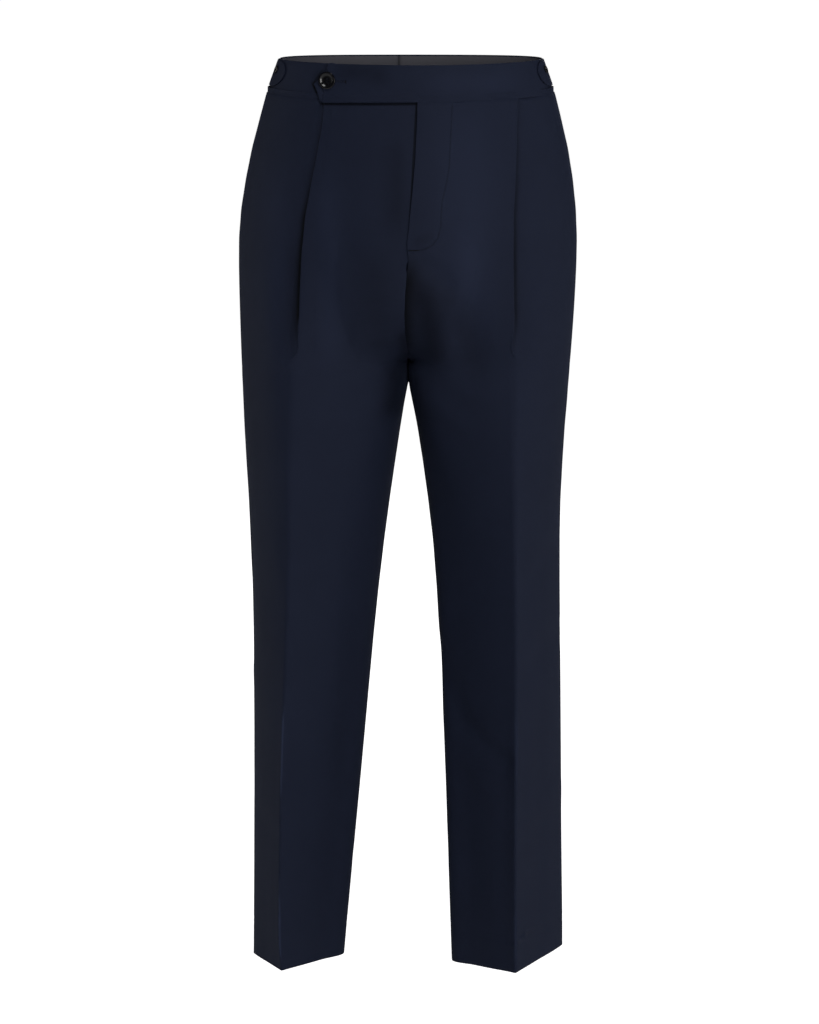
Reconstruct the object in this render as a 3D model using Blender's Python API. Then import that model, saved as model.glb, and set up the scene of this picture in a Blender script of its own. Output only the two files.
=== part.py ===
"""Pleated dress trousers, filled out as they are worn, in metres with +Z up.

The front faces -Y. +X is the wearer's left. The origin is the middle of the waist ring, half way up
the waistband, where the wearer's waist holds the garment.

Each leg half is a wall that starts at the centre front seam, goes round the side seam and ends at the
centre back seam. Below the crotch it closes into a leg with pressed creases at front and back. Every
wall is a grid of points on the outer face of the cloth, thickened inwards.
"""

from collections import namedtuple
from math import asin, atan2, cos, pi, radians, sin, sqrt

import bmesh
import bpy
from mathutils import Matrix, Vector

MM = 0.001
CLOTH = 1.3 * MM
BAND_CLOTH = 1.6 * MM
FACING_CLOTH = 1.0 * MM
SEAM_GAP = 0.3 * MM
LAYER_GAP = 0.5 * MM
FACING_GAP = 0.7 * MM
BUTTON_GAP = 0.3 * MM

# Waistband
BAND_TOP = 20.0 * MM
BAND_TOP_DIP_FRONT = 1.4 * MM
BAND_TOP_DIP_BACK = 2.8 * MM
BAND_BOTTOM = -19.5 * MM
BAND_BOTTOM_DIP_FRONT = 3.7 * MM
BAND_UNDERLAP = 20 * MM
BAND_LIFT_END = 60 * MM
BAND_COLUMNS = 26
WAIST_LEAN = 0.3
EXTENSION_DROOP = 3.7 * MM
EXTENSION_ROWS = 4
EXTENSION_STEPS = 12
FACING_INSET = 1.5 * MM

# The pointed end of the waistband's extension, in millimetres: how far each column lies past the
# centre front, and its lower and upper ends
TabColumn = namedtuple("TabColumn", "distance low high")
TAB_END = (
    TabColumn(123.0, -2.4, -0.4),
    TabColumn(117.0, -13.4, 4.1),
    TabColumn(110.5, -25.1, 9.2),
    TabColumn(108.5, -25.0, 10.8),
)
TAB_SQUARE_FROM = 107 * MM

# Fly: the wearer's left front lies over the right one
FLY_OVERLAP = 4.5 * MM
FLY_UNDERLAP = 12 * MM
FLY_BOTTOM = -187 * MM
FLY_CLOSED = -203 * MM
FLY_FLAT = -222 * MM
FLY_LIFT = CLOTH + 0.7 * MM
FLY_WIDTH = 40 * MM

# Crotch
SPLIT_START = -200 * MM
THIGH_START = -90 * MM
CROTCH = -335 * MM
SEAM_REACH = 0.12

# Legs: the inner thighs lie on a plane that leans a little, and pressed faces are nearly flat except
# near the seams, where the cloth stays round
THIGH_SLANT = 0.03
PRESSED_STRAIGHT = 0.85
SEAM_ROUND = 0.4

# Reverse pleats: the fold edge points to the side seam
PLEAT_DEPTH_TOP = 14 * MM
PLEAT_DEPTH_END = 1 * MM
PLEAT_GAP = 0.7 * MM
PLEAT_FOLDED_TO = -268 * MM
PLEAT_OPEN_AT = -308 * MM
PLEAT_STEP = 2.4 * MM
PLEAT_STEP_WIDTH = 9 * MM
PLEAT_STEP_SHIFT = 0.7
PLEAT_SPREAD = 16 * MM
PLEAT_RETURN = 38 * MM

# Side adjuster tabs
SIDE_TAB_TOP = 18.8 * MM
SIDE_TAB_BOTTOM = -10.5 * MM
SIDE_TAB_FRONT = radians(67)
SIDE_TAB_BACK = radians(114)
SIDE_TAB_ROUND = radians(12)
SIDE_TAB_TURNS = [radians(turn) for turn in (8, 25, 45, 65, 90)]
SIDE_TAB_STEPS = 8
SIDE_TAB_ROWS = 4
SIDE_TAB_BUTTON = radians(78.5)
SIDE_TAB_BUTTON_Z = 8 * MM
SIDE_BUTTON_SIZE = 0.58

# Buttons
BUTTON_RADIUS = 8.4 * MM
BUTTON_HEIGHT = 3.2 * MM
BUTTON_RIM = 1.9 * MM
BUTTON_DISH = 1.1 * MM
BUTTON_HOLE_RADIUS = 0.85 * MM
BUTTON_HOLE_SPACING = 1.9 * MM
BUTTON_SEGMENTS = 20
FRONT_BUTTON_X = 104.6 * MM

# Height of each row of points down a panel, in millimetres
PANEL_ROWS = (
    -23, -50, -85, -120, -155, -187, -203, -222, -245, -268, -288, -308, -320, -328, -335, -347,
    -362, -383, -415, -455, -500, -550, -605, -665, -725, -785, -845, -905, -965, -1018, -1058.5,
)
HEM = PANEL_ROWS[-1] * MM
KNEE = -600 * MM

# Fractions of the way round a half: 0 front inner edge, 0.25 front crease, 0.5 side seam,
# 0.75 back crease, 1 back inner edge
CREASE = 0.25
SIDE = 0.5
REAR_CREASE = 0.75
FRONT_INNER_COLUMNS = (0, 0.012, 0.045, 0.083, 0.12, 0.155, 0.19, 0.222)
FRONT_OUTER_COLUMNS = (0.285, 0.325, 0.37, 0.425, 0.488, SIDE)
BACK_COLUMNS = (SIDE, 0.511, 0.56, 0.615, 0.665, 0.71, REAR_CREASE, 0.79, 0.83, 0.88, 0.94, 0.988, 1)

# Sections of the seat, in millimetres: where the centre seams run and how deep the body is
Trunk = namedtuple("Trunk", "height front_x back_x front back")
TRUNK = (
    Trunk(25, 11.8, -13.0, 105, 106),
    Trunk(-20, 11.8, -12.0, 108, 110),
    Trunk(-75, 10.0, -9.0, 117, 121),
    Trunk(-122, 6.0, -5.0, 123, 129),
    Trunk(-165, 1.5, -3.0, 126, 132),
    Trunk(-200, -1.5, -2.0, 127, 130),
    Trunk(-250, -5.5, -1.5, 126, 124),
    Trunk(-290, -6.5, -1.0, 124, 118),
    Trunk(-335, -1.0, -1.0, 120, 112),
)

# Sections of one half, in millimetres. outer, crease, inner and rear are distances from the middle
# plane. fold and seat are how far the front and back creases stand from it. inner_y and outer_y place
# the inseam and the side seam from front to back. sharp is how pressed the front crease is and flat is
# how flat the inner thigh lies, both from 0 to 1.
Half = namedtuple("Half", "height outer crease inner rear fold seat inner_y outer_y sharp flat")
RIGHT = (
    Half(25, 149.2, 98, 1.25, 85, 80, 80, 10, 0, 0, 1),
    Half(-20, 165.4, 100.5, 1.25, 90, 85, 85, 10, 0, 0, 1),
    Half(-75, 181.4, 108, 1.25, 98, 98, 98, 10, 0, 0, 1),
    Half(-122, 191.5, 116.5, 1.25, 104, 104, 106, 10, 0, 0, 1),
    Half(-169, 198.4, 123.3, 1.25, 107, 108, 110, 10, 0, 0, 1),
    Half(-216, 200.1, 127.5, 1.25, 108, 110, 112, 10, 2, 0, 1),
    Half(-264, 199.6, 129.5, 1.25, 108, 111, 110, 10, 3, 0.05, 1),
    Half(-311, 198.5, 134.5, 1.25, 106, 111, 107, 10, 4, 0.15, 1),
    Half(-359, 197.2, 138.5, 1.6, 104, 110, 103, 10, 5, 0.25, 1),
    Half(-383, 196.3, 139.5, 5.4, 103, 109, 100, 9, 5, 0.3, 0.9),
    Half(-431, 194.5, 141.0, 13.1, 102, 106, 97, 7, 4, 0.35, 0.6),
    Half(-527, 189.5, 141.5, 26.9, 101, 99, 92, 3, 2, 0.4, 0.2),
    Half(-624, 185.9, 143.5, 38.5, 102, 95, 88, 0, 0, 0.5, 0),
    Half(-721, 185.6, 147.5, 47.9, 104, 91, 87, 0, 0, 0.7, 0),
    Half(-819, 185.8, 151.5, 56.9, 108, 87, 88, 0, 0, 0.85, 0),
    Half(-918, 186.9, 153.6, 66.3, 111, 83, 89, 0, 0, 0.92, 0),
    Half(-1018, 188.0, 155.4, 75.6, 114, 80, 90, 0, 0, 0.98, 0),
    Half(-1060, 188.3, 152.5, 79.3, 115, 78, 90, 0, 0, 1.0, 0),
)
LEFT = (
    Half(25, 152.5, 120, -0.75, 85, 80, 80, 10, 0, 0, 1),
    Half(-20, 168.3, 120, -0.75, 90, 85, 85, 10, 0, 0, 1),
    Half(-75, 182.8, 120, -0.75, 98, 96, 98, 10, 0, 0, 1),
    Half(-122, 191.0, 120, -0.75, 104, 102, 106, 10, 0, 0, 1),
    Half(-169, 195.5, 121, -0.75, 107, 107, 110, 10, 0, 0, 1),
    Half(-216, 195.9, 121.8, -0.75, 106, 109, 112, 10, 2, 0.05, 1),
    Half(-264, 194.0, 122.6, -0.75, 104, 110, 110, 10, 3, 0.1, 1),
    Half(-311, 191.2, 123.0, -0.75, 101, 110, 107, 10, 5, 0.2, 1),
    Half(-359, 187.8, 122.6, -0.3, 98, 109, 103, 10, 6, 0.35, 1),
    Half(-383, 186.3, 122.5, 3.5, 97, 108, 100, 9, 7, 0.45, 0.9),
    Half(-431, 182.9, 122.4, 12.2, 96, 106, 96, 6, 8, 0.6, 0.6),
    Half(-527, 178.9, 123.6, 25.4, 96, 99, 90, 0, 10, 0.75, 0.2),
    Half(-575, 179.0, 124.3, 30.1, 97, 97, 86, -3, 11, 0.8, 0.1),
    Half(-624, 179.3, 124.8, 33.5, 98, 96, 84, -6, 12, 0.85, 0),
    Half(-721, 180.7, 125.4, 38.8, 101, 94, 80, -10, 15, 0.9, 0),
    Half(-819, 181.9, 125.5, 42.9, 103, 92, 78, -13, 18, 0.95, 0),
    Half(-918, 183.0, 125.2, 46.3, 105, 91, 77, -16, 21, 1.0, 0),
    Half(-1018, 184.8, 125.7, 49.7, 107, 90, 77, -19, 24, 1.0, 0),
    Half(-1060, 185.2, 126.2, 51.2, 108, 90, 77, -20, 25, 1.0, 0),
)

# hem_drop is how much lower one hem hangs, and hem_rise how much higher it is at the side seam
Side = namedtuple("Side", "name sign rows hem_rise hem_drop over over_edge")
SIDES = {
    "right": Side("right", -1, RIGHT, 0.0, 0.0, False, -FLY_UNDERLAP),
    "left": Side("left", 1, LEFT, 7 * MM, 3.4 * MM, True, -FLY_OVERLAP),
}


def clamp(value):
    return min(max(value, 0.0), 1.0)


def smooth(value):
    value = clamp(value)
    return value * value * (3 - 2 * value)


def along(rows, column, height):
    """One column of a table at a height in metres, on a smooth curve through its rows, in metres."""
    height = height / MM
    values = [getattr(row, column) for row in rows]
    heights = [row.height for row in rows]
    last = len(rows) - 1
    if height >= heights[0]:
        return values[0] * MM
    if height <= heights[last]:
        return values[last] * MM

    def slope(i):
        before = max(i - 1, 0)
        after = min(i + 1, last)
        return (values[after] - values[before]) / (heights[after] - heights[before])

    i = max(k for k in range(last) if heights[k] >= height)
    span = heights[i + 1] - heights[i]
    t = (height - heights[i]) / span
    start = values[i] * (1 + 2 * t) * (1 - t) ** 2 + slope(i) * span * t * (1 - t) ** 2
    end = values[i + 1] * t * t * (3 - 2 * t) + slope(i + 1) * span * t * t * (t - 1)
    return (start + end) * MM


def trunk_ring(side, angle, height, lift=0.0):
    """A point of the trunk's ring: angle 0 at the centre front, pi/2 at the side, pi at the back.

    A negative angle crosses the centre front to the other side.
    """
    if angle < 0:
        side = SIDES["left" if side.name == "right" else "right"]
        angle = -angle
    front = angle < pi / 2
    centre = along(TRUNK, "front_x" if front else "back_x", height)
    depth = along(TRUNK, "front" if front else "back", height)
    reach = side.sign * along(side.rows, "outer", height) - centre
    across = Vector((reach * sin(angle), -depth * cos(angle)))
    normal = Vector((sin(angle) / reach, -cos(angle) / depth)).normalized()
    return Vector((centre, 0)) + across + normal * lift


def ring_angle(side, point):
    """The angle of a point on the ring at the bottom of the waistband."""
    back = point.y > 0
    depth = along(TRUNK, "back" if back else "front", BAND_BOTTOM)
    centre = along(TRUNK, "back_x" if back else "front_x", BAND_BOTTOM)
    across = side.sign * (point.x - centre) / trunk_reach(side, BAND_BOTTOM, back)
    return atan2(across, -point.y / depth)


def trunk_reach(side, height, back=False):
    centre = along(TRUNK, "back_x" if back else "front_x", height)
    return abs(side.sign * along(side.rows, "outer", height) - centre)


def trunk_point(side, fraction, height, edge):
    """The trunk at a fraction of the half. edge is how far the inner edge lies from the centre seam."""
    back = fraction > SIDE
    part = (1 - fraction if back else fraction) / SIDE
    reach = trunk_reach(side, height, back)
    middle = along(side.rows, "rear" if back else "crease", height)
    at_crease = asin(middle / reach)
    at_edge = asin(edge / reach)
    if part < 0.5:
        angle = at_edge + (at_crease - at_edge) * part * 2
    else:
        angle = at_crease + (pi / 2 - at_crease) * (part * 2 - 1)
    return trunk_ring(side, pi - angle if back else angle, height)


def leg_point(side, fraction, height):
    """The leg at a fraction of the way round, from the inseam forward, out and back to the inseam."""
    inner = along(side.rows, "inner", height)
    outer = along(side.rows, "outer", height)
    turn = 2 * pi * fraction
    front = fraction <= SIDE
    ridge = along(side.rows, "crease" if front else "rear", height)
    depth = -along(side.rows, "fold", height) if front else along(side.rows, "seat", height)
    towards_inner = cos(turn) > 0
    edge = inner if towards_inner else outer
    start = along(side.rows, "inner_y" if towards_inner else "outer_y", height)
    flat = along(side.rows, "flat", height) / MM if towards_inner else 0
    sharp = along(side.rows, "sharp", height) / MM
    up = min(abs(sin(turn)), 1)
    even = asin(up) / (pi / 2)
    straight = PRESSED_STRAIGHT * sharp ** 3 * smooth(even / SEAM_ROUND)
    over = abs(cos(turn)) * (1 + 0.5 * flat * up * up)
    over += (1 - even - over) * straight
    rise = up + (even - up) * sharp
    x = ridge + (edge - ridge) * over
    y = start + (depth - start) * rise
    return Vector((side.sign * x + THIGH_SLANT * (y - start) * flat * over, y))


def split(height, fraction):
    """How far the trunk has turned into two legs, 0 to 1.

    At the inner edges it follows a U, which is the crotch seam. Further round it changes slowly.
    """
    if height <= CROTCH:
        return 1
    t = clamp((SPLIT_START - height) / (SPLIT_START - CROTCH))
    at_seam = 1 - sqrt(1 - t * t)
    body = smooth((THIGH_START - height) / (THIGH_START - CROTCH))
    from_seam = smooth((min(fraction, 1 - fraction) - SEAM_REACH) / (CREASE - SEAM_REACH))
    return at_seam + (body - at_seam) * from_seam


def section(side, fraction, height, edge=SEAM_GAP / 2):
    """The outer face of one half at a fraction of the way round and a height."""
    legs = split(height, fraction)
    if legs == 0:
        return trunk_point(side, fraction, height, edge)
    leg = leg_point(side, fraction, height)
    if legs == 1:
        return leg
    return trunk_point(side, fraction, height, edge).lerp(leg, legs)


def off_section(side, fraction, height, distance, depth):
    """A point at a distance round the section from a fraction, and at a depth below the outer face."""
    step = 0.004
    tangent = section(side, fraction + step, height) - section(side, fraction - step, height)
    there = fraction + distance * 2 * step / tangent.length
    tangent = section(side, there + step, height) - section(side, there - step, height)
    tangent.normalize()
    outward = Vector((tangent.y, -tangent.x)) * side.sign
    return section(side, there, height) - outward * depth


def fly_overlap(height):
    return clamp((height - FLY_CLOSED) / (FLY_BOTTOM - FLY_CLOSED))


def fly_lift(height, x):
    """How far the left front stands over the right one, near the centre front."""
    down = clamp((height - FLY_FLAT) / (FLY_CLOSED - FLY_FLAT))
    centre = along(TRUNK, "front_x", height)
    return FLY_LIFT * down * (1 - smooth((x - centre - FLY_UNDERLAP) / (FLY_WIDTH - FLY_UNDERLAP)))


def pleat_shape(height):
    """(distance, depth) of the points that fold the cloth under and out again.

    Below the folded stretch the fold opens into a step, and the step into flat cloth.
    """
    outer_bend = CLOTH + PLEAT_GAP / 2
    inner_bend = PLEAT_GAP / 2
    down = clamp((PANEL_ROWS[0] * MM - height) / (PANEL_ROWS[0] * MM - PLEAT_FOLDED_TO))
    under = PLEAT_DEPTH_TOP + (PLEAT_DEPTH_END - PLEAT_DEPTH_TOP) * down
    bend = [radians(turn) for turn in (90, 30, -30, -90)]
    folded = [(outer_bend * (cos(a) - 1), outer_bend * (1 - sin(a))) for a in bend]
    floor = 2 * outer_bend + inner_bend
    folded += [(-outer_bend - under - inner_bend * cos(a), floor - inner_bend * sin(a)) for a in bend]
    opened = pleat_opened(height)
    shape = []
    for i, at_fold in enumerate(folded):
        part = i / (len(folded) - 1)
        step = (PLEAT_STEP_WIDTH * (part - PLEAT_STEP_SHIFT), PLEAT_STEP * smooth(part))
        flat = (PLEAT_SPREAD * (part - 0.5), 0)
        start, end = (at_fold, step) if opened < 0.5 else (step, flat)
        share = opened * 2 % 1 if opened < 1 else 1
        shape.append(tuple(a + (b - a) * share for a, b in zip(start, end)))
    return shape


def pleat_opened(height):
    return clamp((PLEAT_FOLDED_TO - height) / (PLEAT_FOLDED_TO - PLEAT_OPEN_AT))


def pleat_floor(height):
    """Depth of the cloth that comes out from under the fold."""
    opened = pleat_opened(height)
    if opened < 0.5:
        floor = 2 * (CLOTH + PLEAT_GAP)
        return floor + (PLEAT_STEP - floor) * opened * 2
    return PLEAT_STEP * (2 - 2 * opened)


def front_row(side, height):
    """One row of a front panel, from its inner edge to the side seam, as (x, y) pairs."""
    lap = fly_overlap(height)
    edge = SEAM_GAP / 2 * (1 - lap) + side.over_edge * lap
    row = [section(side, fraction, height, edge) for fraction in FRONT_INNER_COLUMNS]
    if side.over:
        for point in row:
            point.y -= fly_lift(height, point.x)
    if height >= PLEAT_OPEN_AT:
        row += [off_section(side, CREASE, height, *at) for at in pleat_shape(height)]
    else:
        row += [section(side, CREASE, height)] * len(pleat_shape(height))
    ridge = section(side, CREASE, height)
    for fraction in FRONT_OUTER_COLUMNS:
        point = section(side, fraction, height)
        under = 1 - smooth((point - ridge).length / PLEAT_RETURN)
        row.append(off_section(side, fraction, height, 0, pleat_floor(height) * under))
    row[-1] = section(side, SIDE, height)
    return row


def back_row(side, height):
    return [section(side, fraction, height) for fraction in BACK_COLUMNS]


def band_bottom(angle):
    front = max(cos(angle), 0)
    return BAND_BOTTOM - BAND_BOTTOM_DIP_FRONT * front * front


def band_top(angle):
    dip = BAND_TOP_DIP_FRONT if cos(angle) > 0 else BAND_TOP_DIP_BACK
    return BAND_TOP - dip * cos(angle) ** 2


def panel(side, make_row, seam_shift):
    """A grid of points: one row for each height. The front and back panels part at their seams."""
    grid = []
    for i, millimetres in enumerate(PANEL_ROWS):
        height = millimetres * MM
        row = []
        for point in make_row(side, height):
            z = height
            if i == 0:
                angle = ring_angle(side, point)
                inside = max(trunk_ring(side, angle, height).length - point.length, 0)
                z = band_bottom(angle) - SEAM_GAP - inside * WAIST_LEAN
            below_knee = clamp((height - KNEE) / (HEM - KNEE))
            outer = along(side.rows, "outer", height)
            inner = along(side.rows, "inner", height)
            across = (side.sign * point.x - inner) / (outer - inner)
            z += (side.hem_rise * across - side.hem_drop) * below_knee
            row.append(Vector((point.x, point.y + seam_shift, z)))
        grid.append(row)
    return grid


def material(name, colour, roughness, metallic=0.0):
    made = bpy.data.materials.new(name)
    made.use_nodes = True
    shader = made.node_tree.nodes["Principled BSDF"]
    shader.inputs["Base Color"].default_value = (*colour, 1)
    shader.inputs["Roughness"].default_value = roughness
    shader.inputs["Metallic"].default_value = metallic
    return made


def cloth(name, grid, thickness, finish, flip):
    """A wall of cloth from a grid of points on its outer face, thickened inwards."""
    shape = bmesh.new()
    columns = len(grid[0]) - 1
    made = bmesh.ops.create_grid(shape, x_segments=columns, y_segments=len(grid) - 1)
    for vertex, point in zip(made["verts"], [point for row in grid for point in row]):
        vertex.co = point
    bmesh.ops.remove_doubles(shape, verts=shape.verts, dist=0.01 * MM)
    if flip:
        bmesh.ops.reverse_faces(shape, faces=shape.faces)
    mesh = bpy.data.meshes.new(name)
    shape.to_mesh(mesh)
    shape.free()
    mesh.shade_smooth()
    mesh.materials.append(finish)
    piece = bpy.data.objects.new(name, mesh)
    bpy.context.scene.collection.objects.link(piece)
    wall = piece.modifiers.new("Wall", "SOLIDIFY")
    wall.thickness = thickness
    wall.offset = -1
    wall.use_quality_normals = True
    return piece


def build_panels(side, finish):
    front = panel(side, front_row, -SEAM_GAP / 2)
    cloth("front_" + side.name, front, CLOTH, finish, side.sign > 0)
    back = panel(side, back_row, SEAM_GAP / 2)
    cloth("back_" + side.name, back, CLOTH, finish, side.sign > 0)


def band_angles(side, start, stop):
    """Angles from the distance start past the centre front to stop short of the centre back."""
    first = asin(start / trunk_reach(side, 0))
    last = pi - asin(stop / trunk_reach(side, 0, True))
    return [first + (last - first) * i / BAND_COLUMNS for i in range(BAND_COLUMNS + 1)]


def band_columns(angles, inset=0.0):
    """(angle, low, high) for columns that reach from the band's lower edge to its upper one."""
    return [(angle, band_bottom(angle) + inset, band_top(angle) - inset) for angle in angles]


def band_grid(side, columns, rows, lift):
    """Rows of a piece on the waistband, from (angle, low, high) columns. lift is per angle."""
    grid = []
    for i in range(rows + 1):
        row = []
        for angle, low, high in columns:
            z = low + (high - low) * i / rows
            point = trunk_ring(side, angle, z, lift(angle))
            row.append(Vector((point.x, point.y, z)))
        grid.append(row)
    return grid


def build_waistband_right(finish):
    side = SIDES["right"]
    columns = band_columns(band_angles(side, -BAND_UNDERLAP, SEAM_GAP / 2))
    cloth("waistband_right", band_grid(side, columns, 2, lambda angle: 0), BAND_CLOTH, finish, True)


def left_band_lift(angle):
    """The left half of the band stands over the right one, and comes down past its end."""
    if angle > pi / 2:
        return 0
    past = trunk_reach(SIDES["left"], 0) * sin(angle) - BAND_UNDERLAP
    return (BAND_CLOTH + LAYER_GAP) * (1 - smooth(past / (BAND_LIFT_END - BAND_UNDERLAP)))


def build_waistband_left(finish):
    """The band with its extension, which ends in a point over the wearer's right and droops to it."""
    reach = trunk_reach(SIDES["right"], 0)
    columns = [(-asin(end.distance * MM / reach), end.low * MM, end.high * MM) for end in TAB_END]
    for i in range(EXTENSION_STEPS):
        distance = TAB_SQUARE_FROM * (1 - i / EXTENSION_STEPS)
        angle = -asin(distance / reach)
        low = band_bottom(angle) - EXTENSION_DROOP * (distance / TAB_SQUARE_FROM) ** 2
        columns.append((angle, low, band_top(angle)))
    side = SIDES["left"]
    columns += band_columns(band_angles(side, 0, SEAM_GAP / 2))
    grid = band_grid(side, columns, EXTENSION_ROWS, left_band_lift)
    cloth("waistband_left", grid, BAND_CLOTH, finish, False)


def build_facing(side, start, finish):
    columns = band_columns(band_angles(side, start, SEAM_GAP / 2), FACING_INSET)
    depth = -(BAND_CLOTH + FACING_GAP)
    grid = band_grid(side, columns, 1, lambda angle: depth)
    cloth("facing_" + side.name, grid, FACING_CLOTH, finish, side.sign < 0)


def build_side_tab(side, finish):
    """A strap with a round front end, on the waistband over the side seam."""
    middle = (SIDE_TAB_TOP + SIDE_TAB_BOTTOM) / 2
    half = (SIDE_TAB_TOP - SIDE_TAB_BOTTOM) / 2
    columns = []
    for turn in SIDE_TAB_TURNS:
        angle = SIDE_TAB_FRONT + SIDE_TAB_ROUND * (1 - cos(turn))
        columns.append((angle, middle - half * sin(turn), middle + half * sin(turn)))
    start = SIDE_TAB_FRONT + SIDE_TAB_ROUND
    for i in range(SIDE_TAB_STEPS):
        angle = start + (SIDE_TAB_BACK - start) * (i + 1) / SIDE_TAB_STEPS
        columns.append((angle, SIDE_TAB_BOTTOM, SIDE_TAB_TOP))
    grid = band_grid(side, columns, SIDE_TAB_ROWS, lambda angle: CLOTH + LAYER_GAP)
    cloth("side_tab_" + side.name, grid, CLOTH, finish, side.sign < 0)


def button_mesh(name, size, finish):
    """A four-hole button that faces +Z, with a raised rim and a dished middle."""
    profile = (
        (0, 0), (BUTTON_RADIUS * 0.86, 0), (BUTTON_RADIUS, BUTTON_HEIGHT * 0.4),
        (BUTTON_RADIUS * 0.95, BUTTON_HEIGHT * 0.85), (BUTTON_RADIUS - BUTTON_RIM * 0.5, BUTTON_HEIGHT),
        (BUTTON_RADIUS - BUTTON_RIM, BUTTON_HEIGHT * 0.85),
        (BUTTON_RADIUS - BUTTON_RIM * 1.5, BUTTON_HEIGHT - BUTTON_DISH), (0, BUTTON_HEIGHT - BUTTON_DISH),
    )
    shape = bmesh.new()
    points = [shape.verts.new((radius, 0, z)) for radius, z in profile]
    edges = [shape.edges.new(pair) for pair in zip(points, points[1:])]
    bmesh.ops.spin(
        shape, geom=points + edges, cent=(0, 0, 0), axis=(0, 0, 1), angle=2 * pi,
        steps=BUTTON_SEGMENTS, use_merge=True,
    )
    bmesh.ops.remove_doubles(shape, verts=shape.verts, dist=0.01 * MM)
    bmesh.ops.recalc_face_normals(shape, faces=shape.faces)
    bmesh.ops.scale(shape, vec=(size, size, size), verts=shape.verts)
    mesh = bpy.data.meshes.new(name)
    shape.to_mesh(mesh)
    shape.free()
    mesh.materials.append(finish)
    return mesh


def hole_cutter(size, finish):
    """The four holes as one guide object, cut from each button."""
    shape = bmesh.new()
    for quarter in range(4):
        turn = pi / 4 + quarter * pi / 2
        centre = Vector((cos(turn), sin(turn), 0)) * BUTTON_HOLE_SPACING
        bmesh.ops.create_cone(
            shape, cap_ends=True, segments=8, radius1=BUTTON_HOLE_RADIUS, radius2=BUTTON_HOLE_RADIUS,
            depth=4 * BUTTON_HEIGHT, matrix=Matrix.Translation(centre),
        )
    bmesh.ops.scale(shape, vec=(size, size, size), verts=shape.verts)
    mesh = bpy.data.meshes.new("button_holes")
    shape.to_mesh(mesh)
    shape.free()
    mesh.materials.append(finish)
    return mesh


def build_button(name, side, angle, z, lift, mesh, holes):
    """A button on a face that stands lift above the ring, turned to face out from it."""
    def on_face(turn, up):
        point = trunk_ring(side, angle + turn, z + up, lift)
        return Vector((point.x, point.y, z + up))

    round_it = on_face(0.01, 0) - on_face(-0.01, 0)
    up_it = on_face(0, MM) - on_face(0, -MM)
    out = round_it.cross(up_it).normalized()
    middle = on_face(0, 0)
    if out.dot(Vector((middle.x, middle.y, 0))) < 0:
        out.negate()
    turned = out.to_track_quat("Z", "Y").to_matrix().to_4x4()
    place = Matrix.Translation(middle + out * BUTTON_GAP) @ turned
    button = bpy.data.objects.new(name, mesh)
    cutter = bpy.data.objects.new(name + "_holes", holes)
    for piece in (button, cutter):
        bpy.context.scene.collection.objects.link(piece)
        piece.matrix_world = place
    cutter.hide_render = True
    cutter.display_type = "WIRE"
    cut = button.modifiers.new("Holes", "BOOLEAN")
    cut.object = cutter
    cut.operation = "DIFFERENCE"
    cut.solver = "EXACT"


def main():
    for old in list(bpy.data.objects):
        bpy.data.objects.remove(old, do_unlink=True)
    wool = material("navy_wool", (0.011, 0.014, 0.027), 0.75)
    lining = material("grey_facing", (0.038, 0.036, 0.045), 0.7)
    horn = material("black_button", (0.004, 0.004, 0.005), 0.15)
    for side in SIDES.values():
        build_panels(side, wool)
        build_side_tab(side, wool)
    build_waistband_right(wool)
    build_waistband_left(wool)
    build_facing(SIDES["right"], -BAND_UNDERLAP, lining)
    build_facing(SIDES["left"], BAND_UNDERLAP + FACING_INSET, lining)

    button = button_mesh("button", 1, horn)
    holes = hole_cutter(1, horn)
    left = SIDES["left"]
    front = -asin(FRONT_BUTTON_X / trunk_reach(SIDES["right"], 0))
    build_button("button_front", left, front, 0, BAND_CLOTH + LAYER_GAP, button, holes)
    button = button_mesh("side_button", SIDE_BUTTON_SIZE, horn)
    holes = hole_cutter(SIDE_BUTTON_SIZE, horn)
    for side in SIDES.values():
        lift = CLOTH + LAYER_GAP
        name = "button_side_" + side.name
        build_button(name, side, SIDE_TAB_BUTTON, SIDE_TAB_BUTTON_Z, lift, button, holes)


main()
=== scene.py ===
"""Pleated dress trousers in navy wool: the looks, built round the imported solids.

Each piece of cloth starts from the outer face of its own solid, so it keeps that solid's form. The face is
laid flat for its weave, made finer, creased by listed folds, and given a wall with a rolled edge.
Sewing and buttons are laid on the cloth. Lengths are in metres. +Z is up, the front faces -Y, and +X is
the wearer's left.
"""

from collections import namedtuple
from math import cos, pi, radians, sin

import bmesh
import bpy
from bpy.props import FloatProperty, FloatVectorProperty, PointerProperty
from mathutils import Matrix, Vector
from mathutils.bvhtree import BVHTree
from mathutils.kdtree import KDTree


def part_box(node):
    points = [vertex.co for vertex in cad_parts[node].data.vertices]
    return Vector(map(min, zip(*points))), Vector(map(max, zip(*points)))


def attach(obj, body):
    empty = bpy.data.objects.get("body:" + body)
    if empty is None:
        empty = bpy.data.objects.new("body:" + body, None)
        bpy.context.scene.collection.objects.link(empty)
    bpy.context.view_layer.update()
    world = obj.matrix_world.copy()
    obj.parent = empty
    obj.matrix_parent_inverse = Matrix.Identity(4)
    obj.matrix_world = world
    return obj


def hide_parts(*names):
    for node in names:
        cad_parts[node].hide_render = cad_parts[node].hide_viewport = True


bl_info = {
    "name": "Pleated dress trousers",
    "version": (1, 0, 0),
    "blender": (4, 5, 0),
    "location": "3D View > Sidebar > Trousers",
    "description": "Panels, waistband, tabs, sewing and buttons of a pair of pleated trousers",
    "category": "Add Mesh",
}

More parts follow.
